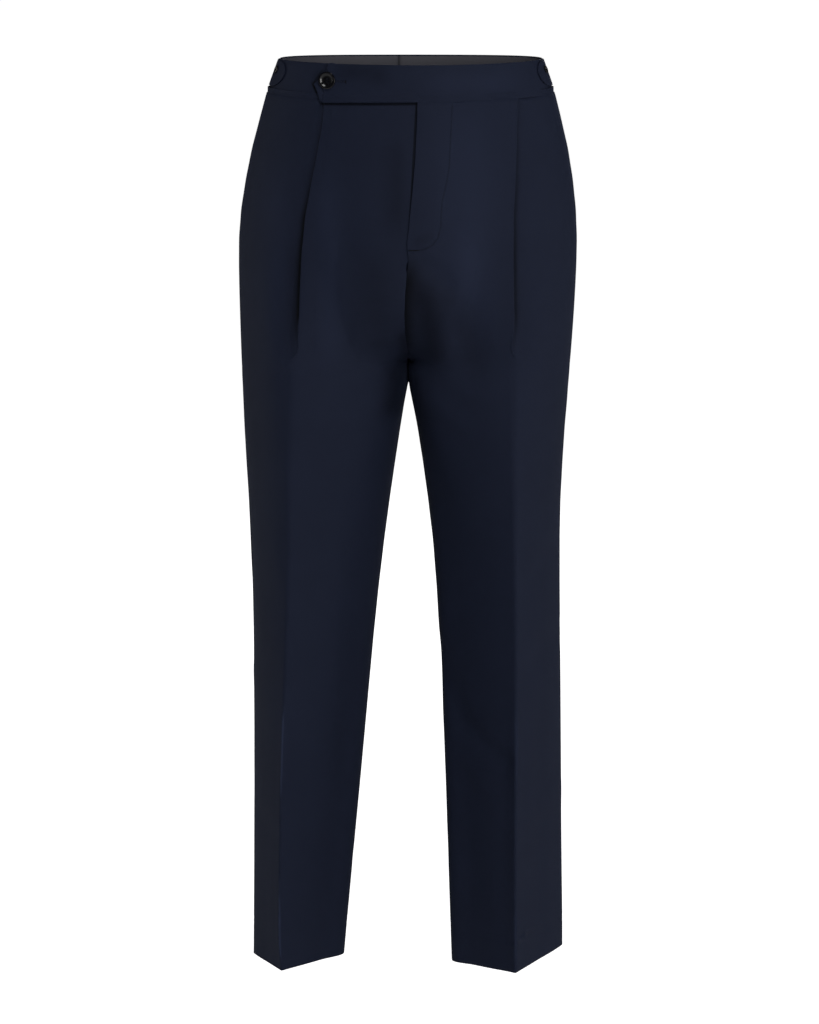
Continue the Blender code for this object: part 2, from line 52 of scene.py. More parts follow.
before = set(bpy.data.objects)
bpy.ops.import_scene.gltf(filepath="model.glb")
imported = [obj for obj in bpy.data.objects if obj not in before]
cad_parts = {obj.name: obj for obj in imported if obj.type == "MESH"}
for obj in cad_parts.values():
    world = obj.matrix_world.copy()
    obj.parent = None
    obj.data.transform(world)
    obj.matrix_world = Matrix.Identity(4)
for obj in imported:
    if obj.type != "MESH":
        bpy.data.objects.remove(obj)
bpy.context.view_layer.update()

MM = 0.001
MERGE = 0.01 * MM
PANELS = ("front_right", "front_left", "back_right", "back_left")

# Flat size of each piece of cloth, as it is cut to what shows: width, length and area
Cut = namedtuple("Cut", "width length area")

# Soft folds, in millimetres as seen from straight ahead: both ends, how far the middle bows to +x, how
# wide the fold is to each side of its line, and how far it stands out or, below 0, sinks in
Fold = namedtuple("Fold", "x0 z0 x1 z1 bow left right depth")
FOLDS = {
    "front_right": (
        Fold(-84, -470, -103, -885, 4, 22, 11, 1.9),
        Fold(-118, -905, -66, -945, 0, 10, 10, -1.2),
        Fold(-131, -190, -141, -318, 0, 13, 9, -2.2),
        Fold(-163, -130, -176, -345, -3, 16, 16, -1.1),
        Fold(-91, -160, -78, -302, -3, 11, 7, 3.0),
        Fold(-68, -160, -66, -296, 0, 7, 14, -2.0),
        Fold(-50, -296, -4, -297, 0, 6, 8, 0.9),
        Fold(-46, -309, -4, -312, 0, 8, 8, -1.1),
        Fold(-8, -338, -78, -380, 0, 11, 11, -1.6),
        Fold(-30, -392, -96, -432, 0, 14, 14, -1.0),
        Fold(-145, -322, -141, -430, 0, 8, 6, -1.2),
        Fold(-146, -520, -144, -572, 0, 7, 6, -1.0),
        Fold(-188, -545, -148, -630, 0, 13, 13, -1.0),
        Fold(-186, -690, -156, -770, 0, 14, 14, 0.9),
        Fold(-187, -860, -160, -905, 0, 12, 12, -0.8),
        Fold(-120, -500, -122, -760, -3, 16, 16, -0.8),
    ),
    "front_left": (
        Fold(36, -660, 62, -770, -3, 9, 12, -3.0),
        Fold(58, -762, 124, -812, 2, 11, 9, -3.0),
        Fold(58, -800, 96, -838, 0, 13, 13, 1.8),
        Fold(52, -905, 96, -960, 0, 15, 15, -1.0),
        Fold(113, -745, 114, -1062, 0, 9, 8, -1.5),
        Fold(0, -197, 54, -240, 3, 15, 12, -3.2),
        Fold(44, -226, 84, -345, 4, 17, 17, -2.6),
        Fold(10, -235, 11, -338, 0, 8, 12, -2.4),
        Fold(80, -60, 88, -190, 0, 22, 22, 1.2),
        Fold(148, -110, 168, -335, 3, 16, 16, -1.3),
        Fold(131, -215, 132, -318, 0, 9, 9, -1.0),
        Fold(12, -346, 92, -398, 0, 12, 12, -1.8),
        Fold(18, -384, 84, -450, 0, 13, 13, -1.1),
        Fold(178, -540, 138, -600, 0, 13, 13, -0.9),
        Fold(182, -650, 132, -706, 0, 14, 14, -1.0),
        Fold(186, -850, 134, -884, 0, 13, 13, 0.8),
        Fold(70, -500, 76, -640, 4, 18, 18, -1.1),
    ),
    "back_right": (
        Fold(-14, -300, -96, -352, 4, 15, 15, -2.4),
        Fold(-28, -342, -140, -372, 4, 14, 14, -1.7),
        Fold(-36, -110, -60, -240, -4, 24, 24, -1.3),
        Fold(-112, -60, -128, -250, -4, 20, 20, -1.2),
        Fold(-64, -566, -160, -592, 5, 13, 13, -2.3),
        Fold(-60, -610, -150, -600, 0, 11, 11, 1.5),
        Fold(-68, -640, -156, -668, 4, 13, 13, -1.7),
        Fold(-92, -735, -172, -772, 0, 14, 14, -1.1),
        Fold(-88, -905, -160, -942, 0, 16, 16, -1.3),
        Fold(-166, -330, -176, -540, -4, 18, 18, -1.2),
    ),
    "back_left": (
        Fold(12, -296, 104, -344, 4, 16, 16, -2.5),
        Fold(30, -338, 132, -380, 4, 13, 13, -1.6),
        Fold(32, -120, 52, -250, 4, 24, 24, -1.4),
        Fold(104, -55, 126, -240, 4, 20, 20, -1.1),
        Fold(52, -560, 150, -600, -4, 13, 13, -2.1),
        Fold(48, -616, 140, -612, 0, 12, 12, 1.4),
        Fold(56, -655, 152, -676, 4, 13, 13, -1.8),
        Fold(60, -760, 148, -742, 0, 14, 14, -1.2),
        Fold(72, -930, 140, -912, 0, 16, 16, -1.2),
        Fold(160, -350, 166, -560, 4, 18, 18, -1.3),
    ),
}

# Painted shade where the cloth lies in its own shadow: as a fold, with its darkness from 0 to 1. Below 0,
# it is painted light instead, a lighter band where more light falls
SHADOWS = {
    "front_right": (
        Fold(-5, -286, -4, -335, 0, 8, 9, 0.5),
        Fold(-12, -322, -20, -400, 0, 14, 14, 0.5),
        Fold(-40, -190, -32, -335, 0, 22, 20, 0.2),
        Fold(-14, -60, -14, -175, 0, 14, 9, 0.22),
        Fold(-131, -180, -141, -318, 0, 12, 7, 0.16),
        Fold(-94, -90, -90, -330, 0, 13, 13, -0.22),
        Fold(-152, -90, -154, -330, 0, 18, 13, -0.18),
    ),
    "front_left": (
        Fold(0, -196, -4, -332, -5, 6, 12, 0.8),
        Fold(8, -214, 30, -345, 4, 16, 16, 0.45),
        Fold(34, -226, 84, -345, 4, 16, 16, 0.22),
        Fold(4, -340, 12, -400, 0, 16, 16, 0.25),
        Fold(4, -380, 18, -450, 0, 12, 12, 0.25),
        Fold(4, -184, 30, -178, -3, 6, 5, 0.16),
        Fold(66, -10, 70, -300, 0, 30, 26, -0.26),
    ),
    "waistband_left": (
        Fold(-84, 12, -22, 4, 2, 10, 12, 0.22),
        Fold(10, -3, 130, -3, 0, 12, 12, -0.16),
    ),
}

# Deep narrow painted shadows that a lifted edge throws on the piece beside it, and the painted highlight
# along a pressed crease, where it is sharpest, in millimetres
Cast = namedtuple("Cast", "x0 z0 x1 z1 half_width dark")
CAST_SHADOWS = {
    "front_right": (
        Cast(-101, -26.8, 6.5, -25.2, 2.0, 0.62),
        Cast(8.2, -24, -0.9, -189.5, 1.9, 0.66),
        Cast(-148.8, -748, -152.1, -842, 1.4, -0.5),
        Cast(-154.8, -966, -153.8, -1040, 1.4, -0.4),
    ),
    "waistband_right": (
        Cast(-110, -4.5, -98.5, -27, 3.4, 0.85),
        Cast(-109.6, -4.0, -101, 8.5, 2.2, 0.5),
    ),
}

# The seam that holds the fly's inner facing, in millimetres, from the waistband down to the centre
FLY_SEAM = (
    (48.8, -27), (47.0, -62), (45.2, -98), (42.4, -114), (37.4, -135), (36.0, -152), (35.8, -165),
    (32.2, -177.5), (26.8, -184.5), (17.0, -189.8), (6.7, -191),
)
# Painted shade along the seam, where its stitches sink the cloth into a narrow channel
CAST_SHADOWS["front_left"] = tuple(
    Cast(*start, *end, 1.2, 0.15) for start, end in zip(FLY_SEAM, FLY_SEAM[1:])
)

# The pleat in its solid: its place in a row of the panel's points, the radius of its outer bend, the depth
# of the cloth under it, how far that cloth takes to rise again, and the heights where the fold ends, in
# millimetres
PANEL_COLUMNS = 22
FOLD_FIRST = 8
FOLD_POINTS = 8
FOLD_BEND = 1.65 * MM
FOLD_FLOOR = 4.0 * MM
PLEAT_REACH = 38 * MM
PLEAT_FOLDED = -268
PLEAT_FLAT = -308
FOLD_OPENS = 6.8

# Points of the cloth beside the fold edge: millimetres past the edge, extra depth and painted shade
GROOVE = ((-1.5, 0, 1), (0.9, 0.9, 1), (2.6, 0.5, 0.9), (4.6, 0.15, 0.45), (8.5, 0, 0.1))

# Extra points of the folded layer, as shares of the way in from its edge; as many as the groove has
FOLD_LAYER = (0.7, 0.48, 0.3, 0.17, 0.08)

# How each pleat runs: height in millimetres, how far it is from its solid's fold, away from the centre, and
# how dark the painted shade in its groove is
Run = namedtuple("Run", "height shift dark")
PLEATS = {
    "front_right": (
        Run(-20, 9.5, 0.1), Run(-50, 7.2, 0.3), Run(-85, 6.2, 0.38), Run(-120, 3.2, 0.5),
        Run(-155, 0.4, 0.85), Run(-187, -2.2, 0.88), Run(-222, -3.4, 0.9), Run(-268, -3.2, 0.9),
        Run(-308, 0, 0.9),
    ),
    "front_left": (
        Run(-20, -8.5, 0.1), Run(-50, -9, 0.22), Run(-85, -7.5, 0.35), Run(-120, -4.6, 0.42),
        Run(-155, -3, 0.5), Run(-187, -1, 0.55), Run(-222, 0, 0.55), Run(-268, 0, 0.5), Run(-308, 0, 0.45),
    ),
}
SHIFT_INWARD = 60 * MM
SHIFT_OUTWARD = 32 * MM

# Stretches where the pressed creases are sharpest, in millimetres
RIDGE_STRETCHES = ((-842, -748), (-1040, -965))

# Where the waistband's extension parts from the left front, where its tip starts, and how far the tip's
# edges and then its point lie from their solid's, in millimetres. The cloth creases where the point starts
EXTENSION_FROM = 8 * MM
TIP_FROM = -90
TIP_INWARD = 5.2
POINT_FROM = -98
POINT_HEIGHT = -0.5
POINT_LOWER = 3.4

# Soft boxes round the trousers: azimuth and height in degrees, and power in watts
STUDIO_LIGHTS = (
    ("key", 20, 5, 36),
    ("right", 85, 5, 25),
    ("left", -106, 5, 23),
    ("top", 0, 50, 32),
    ("behind", 175, 25, 22),
)

# Thickness of the panels' solids
SOLID_WALL = 1.3 * MM

# Cut edges that are this close are sewn together. Once the panels are smooth, their edges meet where they
# are within a little more, most at the crotch, and the cloth gives way so far from the seam
SEAM_REACH = 0.42 * MM
SEAM_MEETS = 1.2 * MM
CROTCH_MEETS = 1.95 * MM
CROTCH = (-366, -340)
SEAM_EASE = 16 * MM

# How near the middle of the crotch, in millimetres, the cloth no longer turns in at its seams
CROTCH_FLAT = 30

# How the panels' top edges run up at the waistband: height and way in from the panel's own face, in
# millimetres. The waist leans in faster, so in places they come out through the band's lower part
TUCK = ((1.0, 1.1), (7.0, 1.3))

# A fold runs past both ends by a share of its length and fades over a share of it. It is gone so many
# widths from its line
FOLD_OVERRUN = 0.1
FOLD_FADE = 0.35
FOLD_SPREAD = 2.2

# The fly's edge in its solid, a slanting line in millimetres, how far and over what width it is moved, and
# the height where the fly closes
FLY_EDGE_X = 6.9
FLY_EDGE_Z = -24
FLY_EDGE_SLANT = 0.0555
FLY_EDGE_SHIFT = 2.4
FLY_EDGE_WIDTH = 26
FLY_FOOT = -203

# The bar tack at the fly's foot: both its ends, in millimetres, and its width
FLY_BAR = (-1, -190.8, 11, -190.8)
FLY_BAR_WIDTH = 1.6 * MM

# Thickness of the waistband and of its facing, for each unit of the panels' cloth
BAND_WALL = 1.5
FACING_WALL = 0.9

# How much wider the front button is than its solid, and each button's proportions for a radius of 1
FRONT_BUTTON_SIZE = 1.2
BUTTON_HEIGHT = 0.38
BUTTON_RIM = 0.3
BUTTON_DISH = 0.14
HOLE_SPACING = 0.235
HOLE_RADIUS = 0.1
BUTTON_THREAD = 0.06

# Cloth that faces forward at least so far takes the painted shadows and highlights, and a narrow one is
# darkest in the inner part of its width
FRONT_FACING = 0.3
CAST_CORE = 0.45

# The front buttonhole, in millimetres on the waistband: where it starts under its button and where it ends
Buttonhole = namedtuple("Buttonhole", "x0 z0 x1 z1")
FRONT_BUTTONHOLE = Buttonhole(-94, -0.3, -74, -0.9)


def clamp(value):
    return min(max(value, 0.0), 1.0)


def smooth(value):
    value = clamp(value)
    return value * value * (3 - 2 * value)


def length(name, description, default):
    return FloatProperty(name=name, description=description, default=default, unit="LENGTH")


def colour(name, description, default):
    return FloatVectorProperty(name=name, description=description, default=default, subtype="COLOR")


class TrousersCloth(bpy.types.PropertyGroup):
    """Sizes of the cloth pieces."""

    wall: length("Cloth", "Thickness of the wool", 0.62 * MM)
    edge: length("Rolled edge", "Radius of the cloth's edges", 0.28 * MM)
    pleat_press: FloatProperty(
        name="Pressed pleat", description="Depth of a pressed pleat for each unit of its solid's",
        default=0.42, min=0.3, max=1, subtype="FACTOR",
    )
    ridge: length("Pressed ridge", "How far a pressed crease stands out", 0.5 * MM)
    seam_roll: length("Seam roll", "How far the cloth turns in at a seam", 0.6 * MM)
    longest_cell: length("Longest cell", "Rows taller than this are halved", 21.5 * MM)
    fold_strength: FloatProperty(
        name="Folds", description="How strong the folds are", default=1.0, min=0.0, subtype="FACTOR"
    )
    curl: length("Extension lift", "How far the waistband extension's edges stand off", 2.2 * MM)
    curl_width: length("Extension lift width", "How far in from its edges the extension lifts", 11 * MM)
    facing_step: length("Fly facing", "How far the fly's facing pushes the cloth out", 1.0 * MM)
    hem_depth: length("Hem turn-up", "Depth of cloth turned up inside each hem", 42 * MM)


class TrousersSewing(bpy.types.PropertyGroup):
    """Sizes of the stitches."""

    stitch: length("Stitch", "Length of a stitch", 2.3 * MM)
    gap: length("Gap", "Gap between stitches", 0.7 * MM)
    thread: length("Thread", "Thickness of the thread", 0.45 * MM)
    hole_stitch: length("Buttonhole stitch", "Length of the stitches round a buttonhole", 0.9 * MM)


class TrousersColours(bpy.types.PropertyGroup):
    """Colours of the cloth, the thread and the buttons."""

    wool: colour("Wool", "Main colour of the wool", (0.0098, 0.0130, 0.0268))
    wool_light: colour(
        "Wool, raised yarn", "Colour of the yarn that catches the light", (0.0154, 0.0204, 0.0415)
    )
    facing: colour("Facing", "Colour of the waistband's facing", (0.098, 0.097, 0.112))
    thread: colour("Thread", "Colour of the sewing thread", (0.0035, 0.0045, 0.009))
    button: colour("Button", "Colour of the buttons", (0.004, 0.004, 0.005))


class TrousersStage(bpy.types.PropertyGroup):
    """The camera and the studio."""

    distance: length("Camera distance", "From the waist", 4.8)
    height: length("Camera height", "Above the waist", 0.3304)
    tilt: FloatProperty(
        name="Camera tilt", description="Below level", default=radians(10.013), subtype="ANGLE"
    )
    lens: FloatProperty(name="Focal length", description="In millimetres", default=144.27)
    floor: length("Floor", "Height of the floor", -1.12)


SETTINGS = {
    "trousers_cloth": TrousersCloth,
    "trousers_sewing": TrousersSewing,
    "trousers_colours": TrousersColours,
    "trousers_stage": TrousersStage,
}


# Materials

def new_group(name, inputs, outputs):
    group = bpy.data.node_groups.new(name, "ShaderNodeTree")
    for label, kind, default in inputs:
        socket = group.interface.new_socket(name=label, in_out="INPUT", socket_type=kind)
        if default is not None:
            socket.default_value = default
    for label, kind in outputs:
        group.interface.new_socket(name=label, in_out="OUTPUT", socket_type=kind)
    return group, group.nodes.new("NodeGroupInput"), group.nodes.new("NodeGroupOutput")


def add_node(tree, kind, values=None):
    node = tree.nodes.new("ShaderNode" + kind)
    for label, value in (values or {}).items():
        node.inputs[label].default_value = value
    return node


def link_all(tree, *pairs):
    for start, end in pairs:
        tree.links.new(start, end)


def new_material(name, values):
    """A material, its node tree and its shader with those values."""
    made = bpy.data.materials.new(name)
    made.use_nodes = True
    shader = made.node_tree.nodes["Principled BSDF"]
    for label, value in values.items():
        shader.inputs[label].default_value = value
    return made, made.node_tree, shader


def colour_ramp(tree, tint, low, high):
    """A ramp between two strengths of a colour."""
    ramp = add_node(tree, "ValToRGB")
    for element, share in zip(ramp.color_ramp.elements, (low, high)):
        element.color = (*[c * share for c in tint], 1)
    return ramp


def math_node(tree, operation, first, second, third=None):
    node = add_node(tree, "Math")
    node.operation = operation
    for socket, value in zip(node.inputs, (first, second, third)):
        if isinstance(value, bpy.types.NodeSocket):
            tree.links.new(value, socket)
        elif value is not None:
            socket.default_value = value
    return node.outputs[0]


def attribute_value(tree, name):
    """How strong a mark is at each place of the cloth; 0 on a piece that has no such mark."""
    node = add_node(tree, "Attribute")
    node.attribute_name = name
    return node.outputs["Fac"]


def weave_group():
    """Fine twill on a flat cloth's own map: diagonal ribs crossed by yarns, with soft uneven patches. Its
    colour also carries painted shade from the shade and seam marks, and a painted highlight along pressed
    ridges.
    """
    group, given, made = new_group(
        "Twill",
        (
            ("Yarn", "NodeSocketColor", None),
            ("Raised Yarn", "NodeSocketColor", None),
            ("Rib", "NodeSocketFloat", 0.0009),
            ("Patches", "NodeSocketFloat", 0.12),
            ("Seam Depth", "NodeSocketFloat", 0.1),
        ),
        (("Colour", "NodeSocketColor"), ("Height", "NodeSocketFloat")),
    )
    flat = add_node(group, "UVMap")
    flat.uv_map = "Flat"
    split = add_node(group, "SeparateXYZ")
    across, along = split.outputs[0], split.outputs[1]
    turn = math_node(group, "DIVIDE", 2 * pi, given.outputs["Rib"])
    slope = math_node(group, "MULTIPLY_ADD", across, 2.0, along)
    rib = math_node(group, "SINE", math_node(group, "MULTIPLY", slope, turn), 0)
    pick = math_node(group, "MULTIPLY", along, math_node(group, "MULTIPLY", turn, 2))
    pick = math_node(group, "SINE", pick, 0)
    height = math_node(group, "MULTIPLY_ADD", pick, 0.3, rib)
    height = math_node(group, "MULTIPLY_ADD", height, 0.38, 0.5)
    fibre = add_node(group, "TexNoise", {"Scale": 700, "Detail": 3})
    place = add_node(group, "TexCoord")
    cloud = add_node(group, "TexNoise", {"Scale": 14, "Detail": 3})
    lift = math_node(group, "SUBTRACT", cloud.outputs[0], 0.5)
    uneven = math_node(group, "MULTIPLY", given.outputs["Patches"], 4)
    lift = math_node(group, "MULTIPLY_ADD", lift, uneven, 0.25)
    fine = math_node(group, "MULTIPLY", height, 0.35)
    fine = math_node(group, "MULTIPLY_ADD", fibre.outputs[0], 0.35, fine)
    share = math_node(group, "ADD", lift, fine)
    mix = add_node(group, "Mix")
    mix.data_type = "RGBA"
    shade, seam, ridge = (attribute_value(group, name) for name in ("shade", "seam", "ridge"))
    # Painted shade along the seams, where the cloth turns in
    narrow = math_node(group, "MULTIPLY", math_node(group, "POWER", seam, 12), given.outputs["Seam Depth"])
    # Painted highlight along the pressed crease ridges
    light = math_node(group, "MULTIPLY", math_node(group, "POWER", ridge, 6), 0.3)
    light = math_node(group, "ADD", math_node(group, "SUBTRACT", 1, narrow), light)
    # Painted shade from the shade mark; where the mark is below 0, painted light
    light = math_node(group, "MULTIPLY", light, math_node(group, "SUBTRACT", 1, shade))
    lit = add_node(group, "VectorMath")
    lit.operation = "SCALE"
    raised = math_node(group, "MULTIPLY_ADD", fibre.outputs[0], 0.3, height)
    link_all(
        group,
        (flat.outputs[0], split.inputs[0]),
        (flat.outputs[0], fibre.inputs["Vector"]),
        (place.outputs["Object"], cloud.inputs["Vector"]),
        (share, mix.inputs["Factor"]),
        (given.outputs["Yarn"], mix.inputs[6]),
        (given.outputs["Raised Yarn"], mix.inputs[7]),
        (mix.outputs[2], lit.inputs[0]),
        (light, lit.inputs["Scale"]),
        (lit.outputs[0], made.inputs["Colour"]),
        (raised, made.inputs["Height"]),
    )
    return group


def cloth_material(name, weave, yarn, raised, rib, patches, seam_shade, roughness, sheen):
    made, tree, shader = new_material(name, {
        "Roughness": roughness, "Specular IOR Level": 0.08, "Sheen Weight": sheen,
        "Sheen Roughness": 0.45, "Sheen Tint": (0.45, 0.55, 1.0, 1),
    })
    twill = tree.nodes.new("ShaderNodeGroup")
    twill.node_tree = weave
    values = {
        "Yarn": (*yarn, 1), "Raised Yarn": (*raised, 1), "Rib": rib, "Patches": patches,
        "Seam Depth": seam_shade,
    }
    for label, value in values.items():
        twill.inputs[label].default_value = value
    bump = add_node(tree, "Bump", {"Strength": 0.35, "Distance": 0.08 * MM})
    link_all(
        tree,
        (twill.outputs["Colour"], shader.inputs["Base Color"]),
        (twill.outputs["Height"], bump.inputs["Height"]),
        (bump.outputs["Normal"], shader.inputs["Normal"]),
    )
    return made


def thread_material(name, tint):
    """Twisted sewing thread: a fine slanting ply over its colour."""
    made, tree, shader = new_material(name, {"Roughness": 0.6, "Specular IOR Level": 0.15})
    place = add_node(tree, "TexCoord")
    ply = add_node(tree, "TexWave", {"Scale": 1200})
    ply.bands_direction = "DIAGONAL"
    ramp = colour_ramp(tree, tint, 0.6, 1.6)
    link_all(
        tree,
        (place.outputs["Object"], ply.inputs["Vector"]),
        (ply.outputs["Fac"], ramp.inputs["Fac"]),
        (ramp.outputs["Color"], shader.inputs["Base Color"]),
    )
    return made


def button_material(tint):
    """Polished horn substitute: near black with faint smoky streaks and a clear gloss."""
    made, tree, shader = new_material("polished_button", {
        "Specular IOR Level": 0.35, "Coat Weight": 0.35, "Coat Roughness": 0.05,
    })
    place = add_node(tree, "TexCoord")
    streaks = add_node(tree, "TexNoise", {"Scale": 260, "Detail": 4, "Distortion": 1.2})
    ramp = colour_ramp(tree, tint, 0.6, 2.2)
    rough = add_node(tree, "MapRange", {"To Min": 0.1, "To Max": 0.2})
    link_all(
        tree,
        (place.outputs["Object"], streaks.inputs["Vector"]),
        (streaks.outputs[0], ramp.inputs["Fac"]),
        (ramp.outputs["Color"], shader.inputs["Base Color"]),
        (streaks.outputs[0], rough.inputs["Value"]),
        (rough.outputs[0], shader.inputs["Roughness"]),
    )
    return made


def finish_named(name):
    """A finish by name, made the first time that it is asked for."""
    found = bpy.data.materials.get(name)
    if found:
        return found
    colours = bpy.context.scene.trousers_colours
    weave = bpy.data.node_groups.get("Twill") or weave_group()
    if name == "navy_wool":
        return cloth_material(name, weave, colours.wool, colours.wool_light, 0.9 * MM, 0.12, 0.1, 0.7, 0.03)
    if name == "grey_facing":
        lighter = [c * 1.5 for c in colours.facing]
        return cloth_material(name, weave, colours.facing, lighter, 0.7 * MM, 0.06, 0.7, 0.8, 0.05)
    if name == "sewing_thread":
        return thread_material(name, colours.thread)
    if name == "buttonhole_twist":
        return thread_material(name, colours.wool)
    return button_material(colours.button)


# Meshes

def open_shape(mesh):
    shape = bmesh.new()
    shape.from_mesh(mesh)
    return shape


def put_back(shape, mesh):
    shape.to_mesh(mesh)
    shape.free()
    return mesh


def new_object(name, data):
    made = bpy.data.objects.new(name, data)
    bpy.context.scene.collection.objects.link(made)
    return made


def spots_of(places):
    """A tree that finds the nearest of some places, given as (number, place)."""
    spots = KDTree(len(places))
    for i, place in places:
        spots.insert(place, i)
    spots.balance()
    return spots


# Cloth

def is_cut_edge(face):
    """Whether a face is the cut edge of a panel's wall: as wide as the wall, and square to its sides."""
    sides = [side for side in face.edges if abs(side.calc_length() - SOLID_WALL) > 0.03 * MM]
    square = any(side.calc_face_angle() > radians(50) for side in sides)
    return len(sides) < len(face.edges) and square


def outer_face(node):
    """The outer side of a solid's wall, as a bmesh of quads.

    It spreads from the face that lies furthest out, and stops at the wall's square edges.
    """
    shape = open_shape(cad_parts[node].data)
    bmesh.ops.remove_doubles(shape, verts=shape.verts, dist=MERGE)
    for edge in shape.edges:
        edge.seam = abs(edge.verts[0].co.z - edge.verts[1].co.z) < 2 * MERGE
    bmesh.ops.join_triangles(
        shape, faces=shape.faces, cmp_seam=True, angle_face_threshold=radians(40),
        angle_shape_threshold=pi,
    )
    for edge in shape.edges:
        edge.seam = False
    shape.normal_update()
    cut = {face for face in shape.faces if node in PANELS and is_cut_edge(face)}
    first = max(shape.faces, key=lambda face: face.calc_center_median().xy.dot(face.normal.xy))
    found = {first}
    ahead = [first]
    while ahead:
        for edge in ahead.pop().edges:
            if edge.calc_face_angle() > radians(75):
                continue
            for other in edge.link_faces:
                if other not in found and other not in cut:
                    found.add(other)
                    ahead.append(other)
    others = [face for face in shape.faces if face not in found]
    bmesh.ops.delete(shape, geom=others, context="FACES")
    return shape


def close_seams(shape, name, others):
    """Brings a piece's edges half way to the neighbours that it is sewn to, and marks them as seams."""
    seam = shape.verts.layers.float.new("seam")
    trees = []
    for other in others:
        if other != name:
            solid = open_shape(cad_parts[other].data)
            trees.append(BVHTree.FromBMesh(solid))
            solid.free()
    for vertex in shape.verts:
        if vertex.is_boundary:
            for tree in trees:
                place, _, _, _ = tree.find_nearest(vertex.co, SEAM_REACH)
                if place:
                    vertex.co = (vertex.co + place) / 2
                    vertex[seam] = 1
                    break


def panel_rows(shape):
    """The rows of a front panel's folded stretch, each as its vertices from the centre to the side."""
    by_height = {}
    for vertex in shape.verts:
        by_height.setdefault(round(vertex.co.z / MM, 1), []).append(vertex)
    rows = []
    for height in sorted(by_height):
        row = by_height[height]
        if height < PLEAT_FLAT - 1 or len(row) != PANEL_COLUMNS:
            continue
        ends = [
            vertex for vertex in row
            if sum(edge.other_vert(vertex) in row for edge in vertex.link_edges) == 1
        ]
        here = min(ends, key=lambda vertex: abs(vertex.co.x))
        chain = [here]
        while len(chain) < len(row):
            here = next(
                edge.other_vert(here) for edge in here.link_edges
                if edge.other_vert(here) in row and edge.other_vert(here) not in chain
            )
            chain.append(here)
        rows.append(chain)
    top = []
    for vertex in rows[-1]:
        above = [edge.other_vert(vertex) for edge in vertex.link_edges]
        above = [other for other in above if other.co.z > vertex.co.z + 10 * MM]
        top.append(min(above, key=lambda other: (other.co.xy - vertex.co.xy).length))
    rows.append(top)
    return rows


def along_table(table, height):
    """A row of a table of heights, for a height between two of its rows."""
    for above, below in zip(table, table[1:]):
        if height > below.height:
            break
    share = clamp((above.height - height) / (above.height - below.height))
    return type(above)(*(a + (b - a) * share for a, b in zip(above, below)))


def press_pleat(shape, name):
    """Presses the folded cloth of a pleat thin, with a crisp fold edge and a groove beside it that is given
    painted shade.

    Returns, from the lowest row up, each row's height, its fold's middle and which way is out there.
    """
    sign = 1 if name.endswith("left") else -1
    cloth = bpy.context.scene.trousers_cloth
    shade = shape.verts.layers.float.new("shade")
    rows = panel_rows(shape)
    frames = []
    folds = []
    for row in reversed(rows):
        height = row[0].co.z / MM
        flat = clamp((PLEAT_FOLDED - height) / (PLEAT_FOLDED - PLEAT_FLAT))
        folded = 1 - smooth(flat)
        first, before = row[FOLD_FIRST], row[FOLD_FIRST - 1]
        along = (first.co - before.co).xy.normalized()
        out = Vector((along.y, -along.x)) * sign
        middle = first.co.xy + along * (FOLD_BEND + (FOLD_OPENS * MM - FOLD_BEND) * smooth(flat * 2))
        run = along_table(PLEATS[name], height)
        for vertex in row:
            past = (vertex.co.xy - middle).dot(along)
            share = 1 - smooth(past / SHIFT_OUTWARD if past > 0 else -past / SHIFT_INWARD)
            vertex.co.xy += along * run.shift * MM * share
        middle += along * run.shift * MM
        floors = [
            FOLD_FLOOR * (1 - smooth((vertex.co.xy - middle).length / PLEAT_REACH)) * (1 - flat)
            for vertex in row
        ]
        if flat == 0:
            folds = []
            for i in range(FOLD_POINTS):
                reach = row[FOLD_FIRST + i].co.xy - middle
                past = reach.dot(along) * (cloth.pleat_press if i < FOLD_POINTS // 2 else 1)
                folds.append((past, -reach.dot(out) * cloth.pleat_press))
        for i, vertex in enumerate(row[FOLD_FIRST:]):
            if i < FOLD_POINTS:
                past, depth = folds[i]
                past = past * folded + (i / (FOLD_POINTS - 1) - 0.5) * MM * flat
                vertex.co.xy = middle + along * past - out * depth * folded
            else:
                vertex.co.xy += out * floors[FOLD_FIRST + i] * (1 - cloth.pleat_press)
        frames.insert(0, (height, middle, along, out, folded))
    last_of_fold = FOLD_FIRST + FOLD_POINTS - 1
    ends = [(row[last_of_fold].co.copy(), row[last_of_fold + 1].co.copy()) for row in rows]
    layers = [(row[FOLD_FIRST - 1].co.copy(), row[FOLD_FIRST].co.copy()) for row in rows]
    cut = [
        edge for row in rows for column in (last_of_fold, FOLD_FIRST - 1) for edge in row[column].link_edges
        if edge.other_vert(row[column]) is row[column + 1]
    ]
    bmesh.ops.subdivide_edges(shape, edges=cut, cuts=len(GROOVE), use_grid_fill=True)
    shape.verts.ensure_lookup_table()
    spots = spots_of([(i, vertex.co) for i, vertex in enumerate(shape.verts)])
    for start, end in layers:
        for i, share in enumerate(FOLD_LAYER):
            vertex = shape.verts[spots.find(start.lerp(end, (i + 1) / (len(FOLD_LAYER) + 1)))[1]]
            vertex.co = end.lerp(start, share)
    flat = FOLD_FLOOR * cloth.pleat_press
    for (start, end), (height, middle, along, out, folded) in zip(ends, frames):
        end_past = (end.xy - middle).dot(along)
        end_depth = -(end.xy - middle).dot(out)
        dark = along_table(PLEATS[name], height).dark
        for i, (past, extra, mark) in enumerate(GROOVE):
            vertex = shape.verts[spots.find(start.lerp(end, (i + 1) / (len(GROOVE) + 1)))[1]]
            past *= MM
            if past < 0:
                depth = flat * folded
            else:
                level = flat * 0.55 * folded
                depth = level + (end_depth - level) * smooth(past / end_past) + extra * MM * folded
            vertex.co.xy = middle + along * past - out * depth
            # Painted shade in the groove beside the fold edge
            vertex[shade] = mark * folded * dark
    return [(height, middle, out) for height, middle, _, out, _ in frames]


def new_piece(name, shape, finish):
    mesh = put_back(shape, bpy.data.meshes.new(name))
    piece = new_object(name, mesh)
    mesh.materials.append(finish_named(finish))
    mesh.shade_smooth()
    return piece


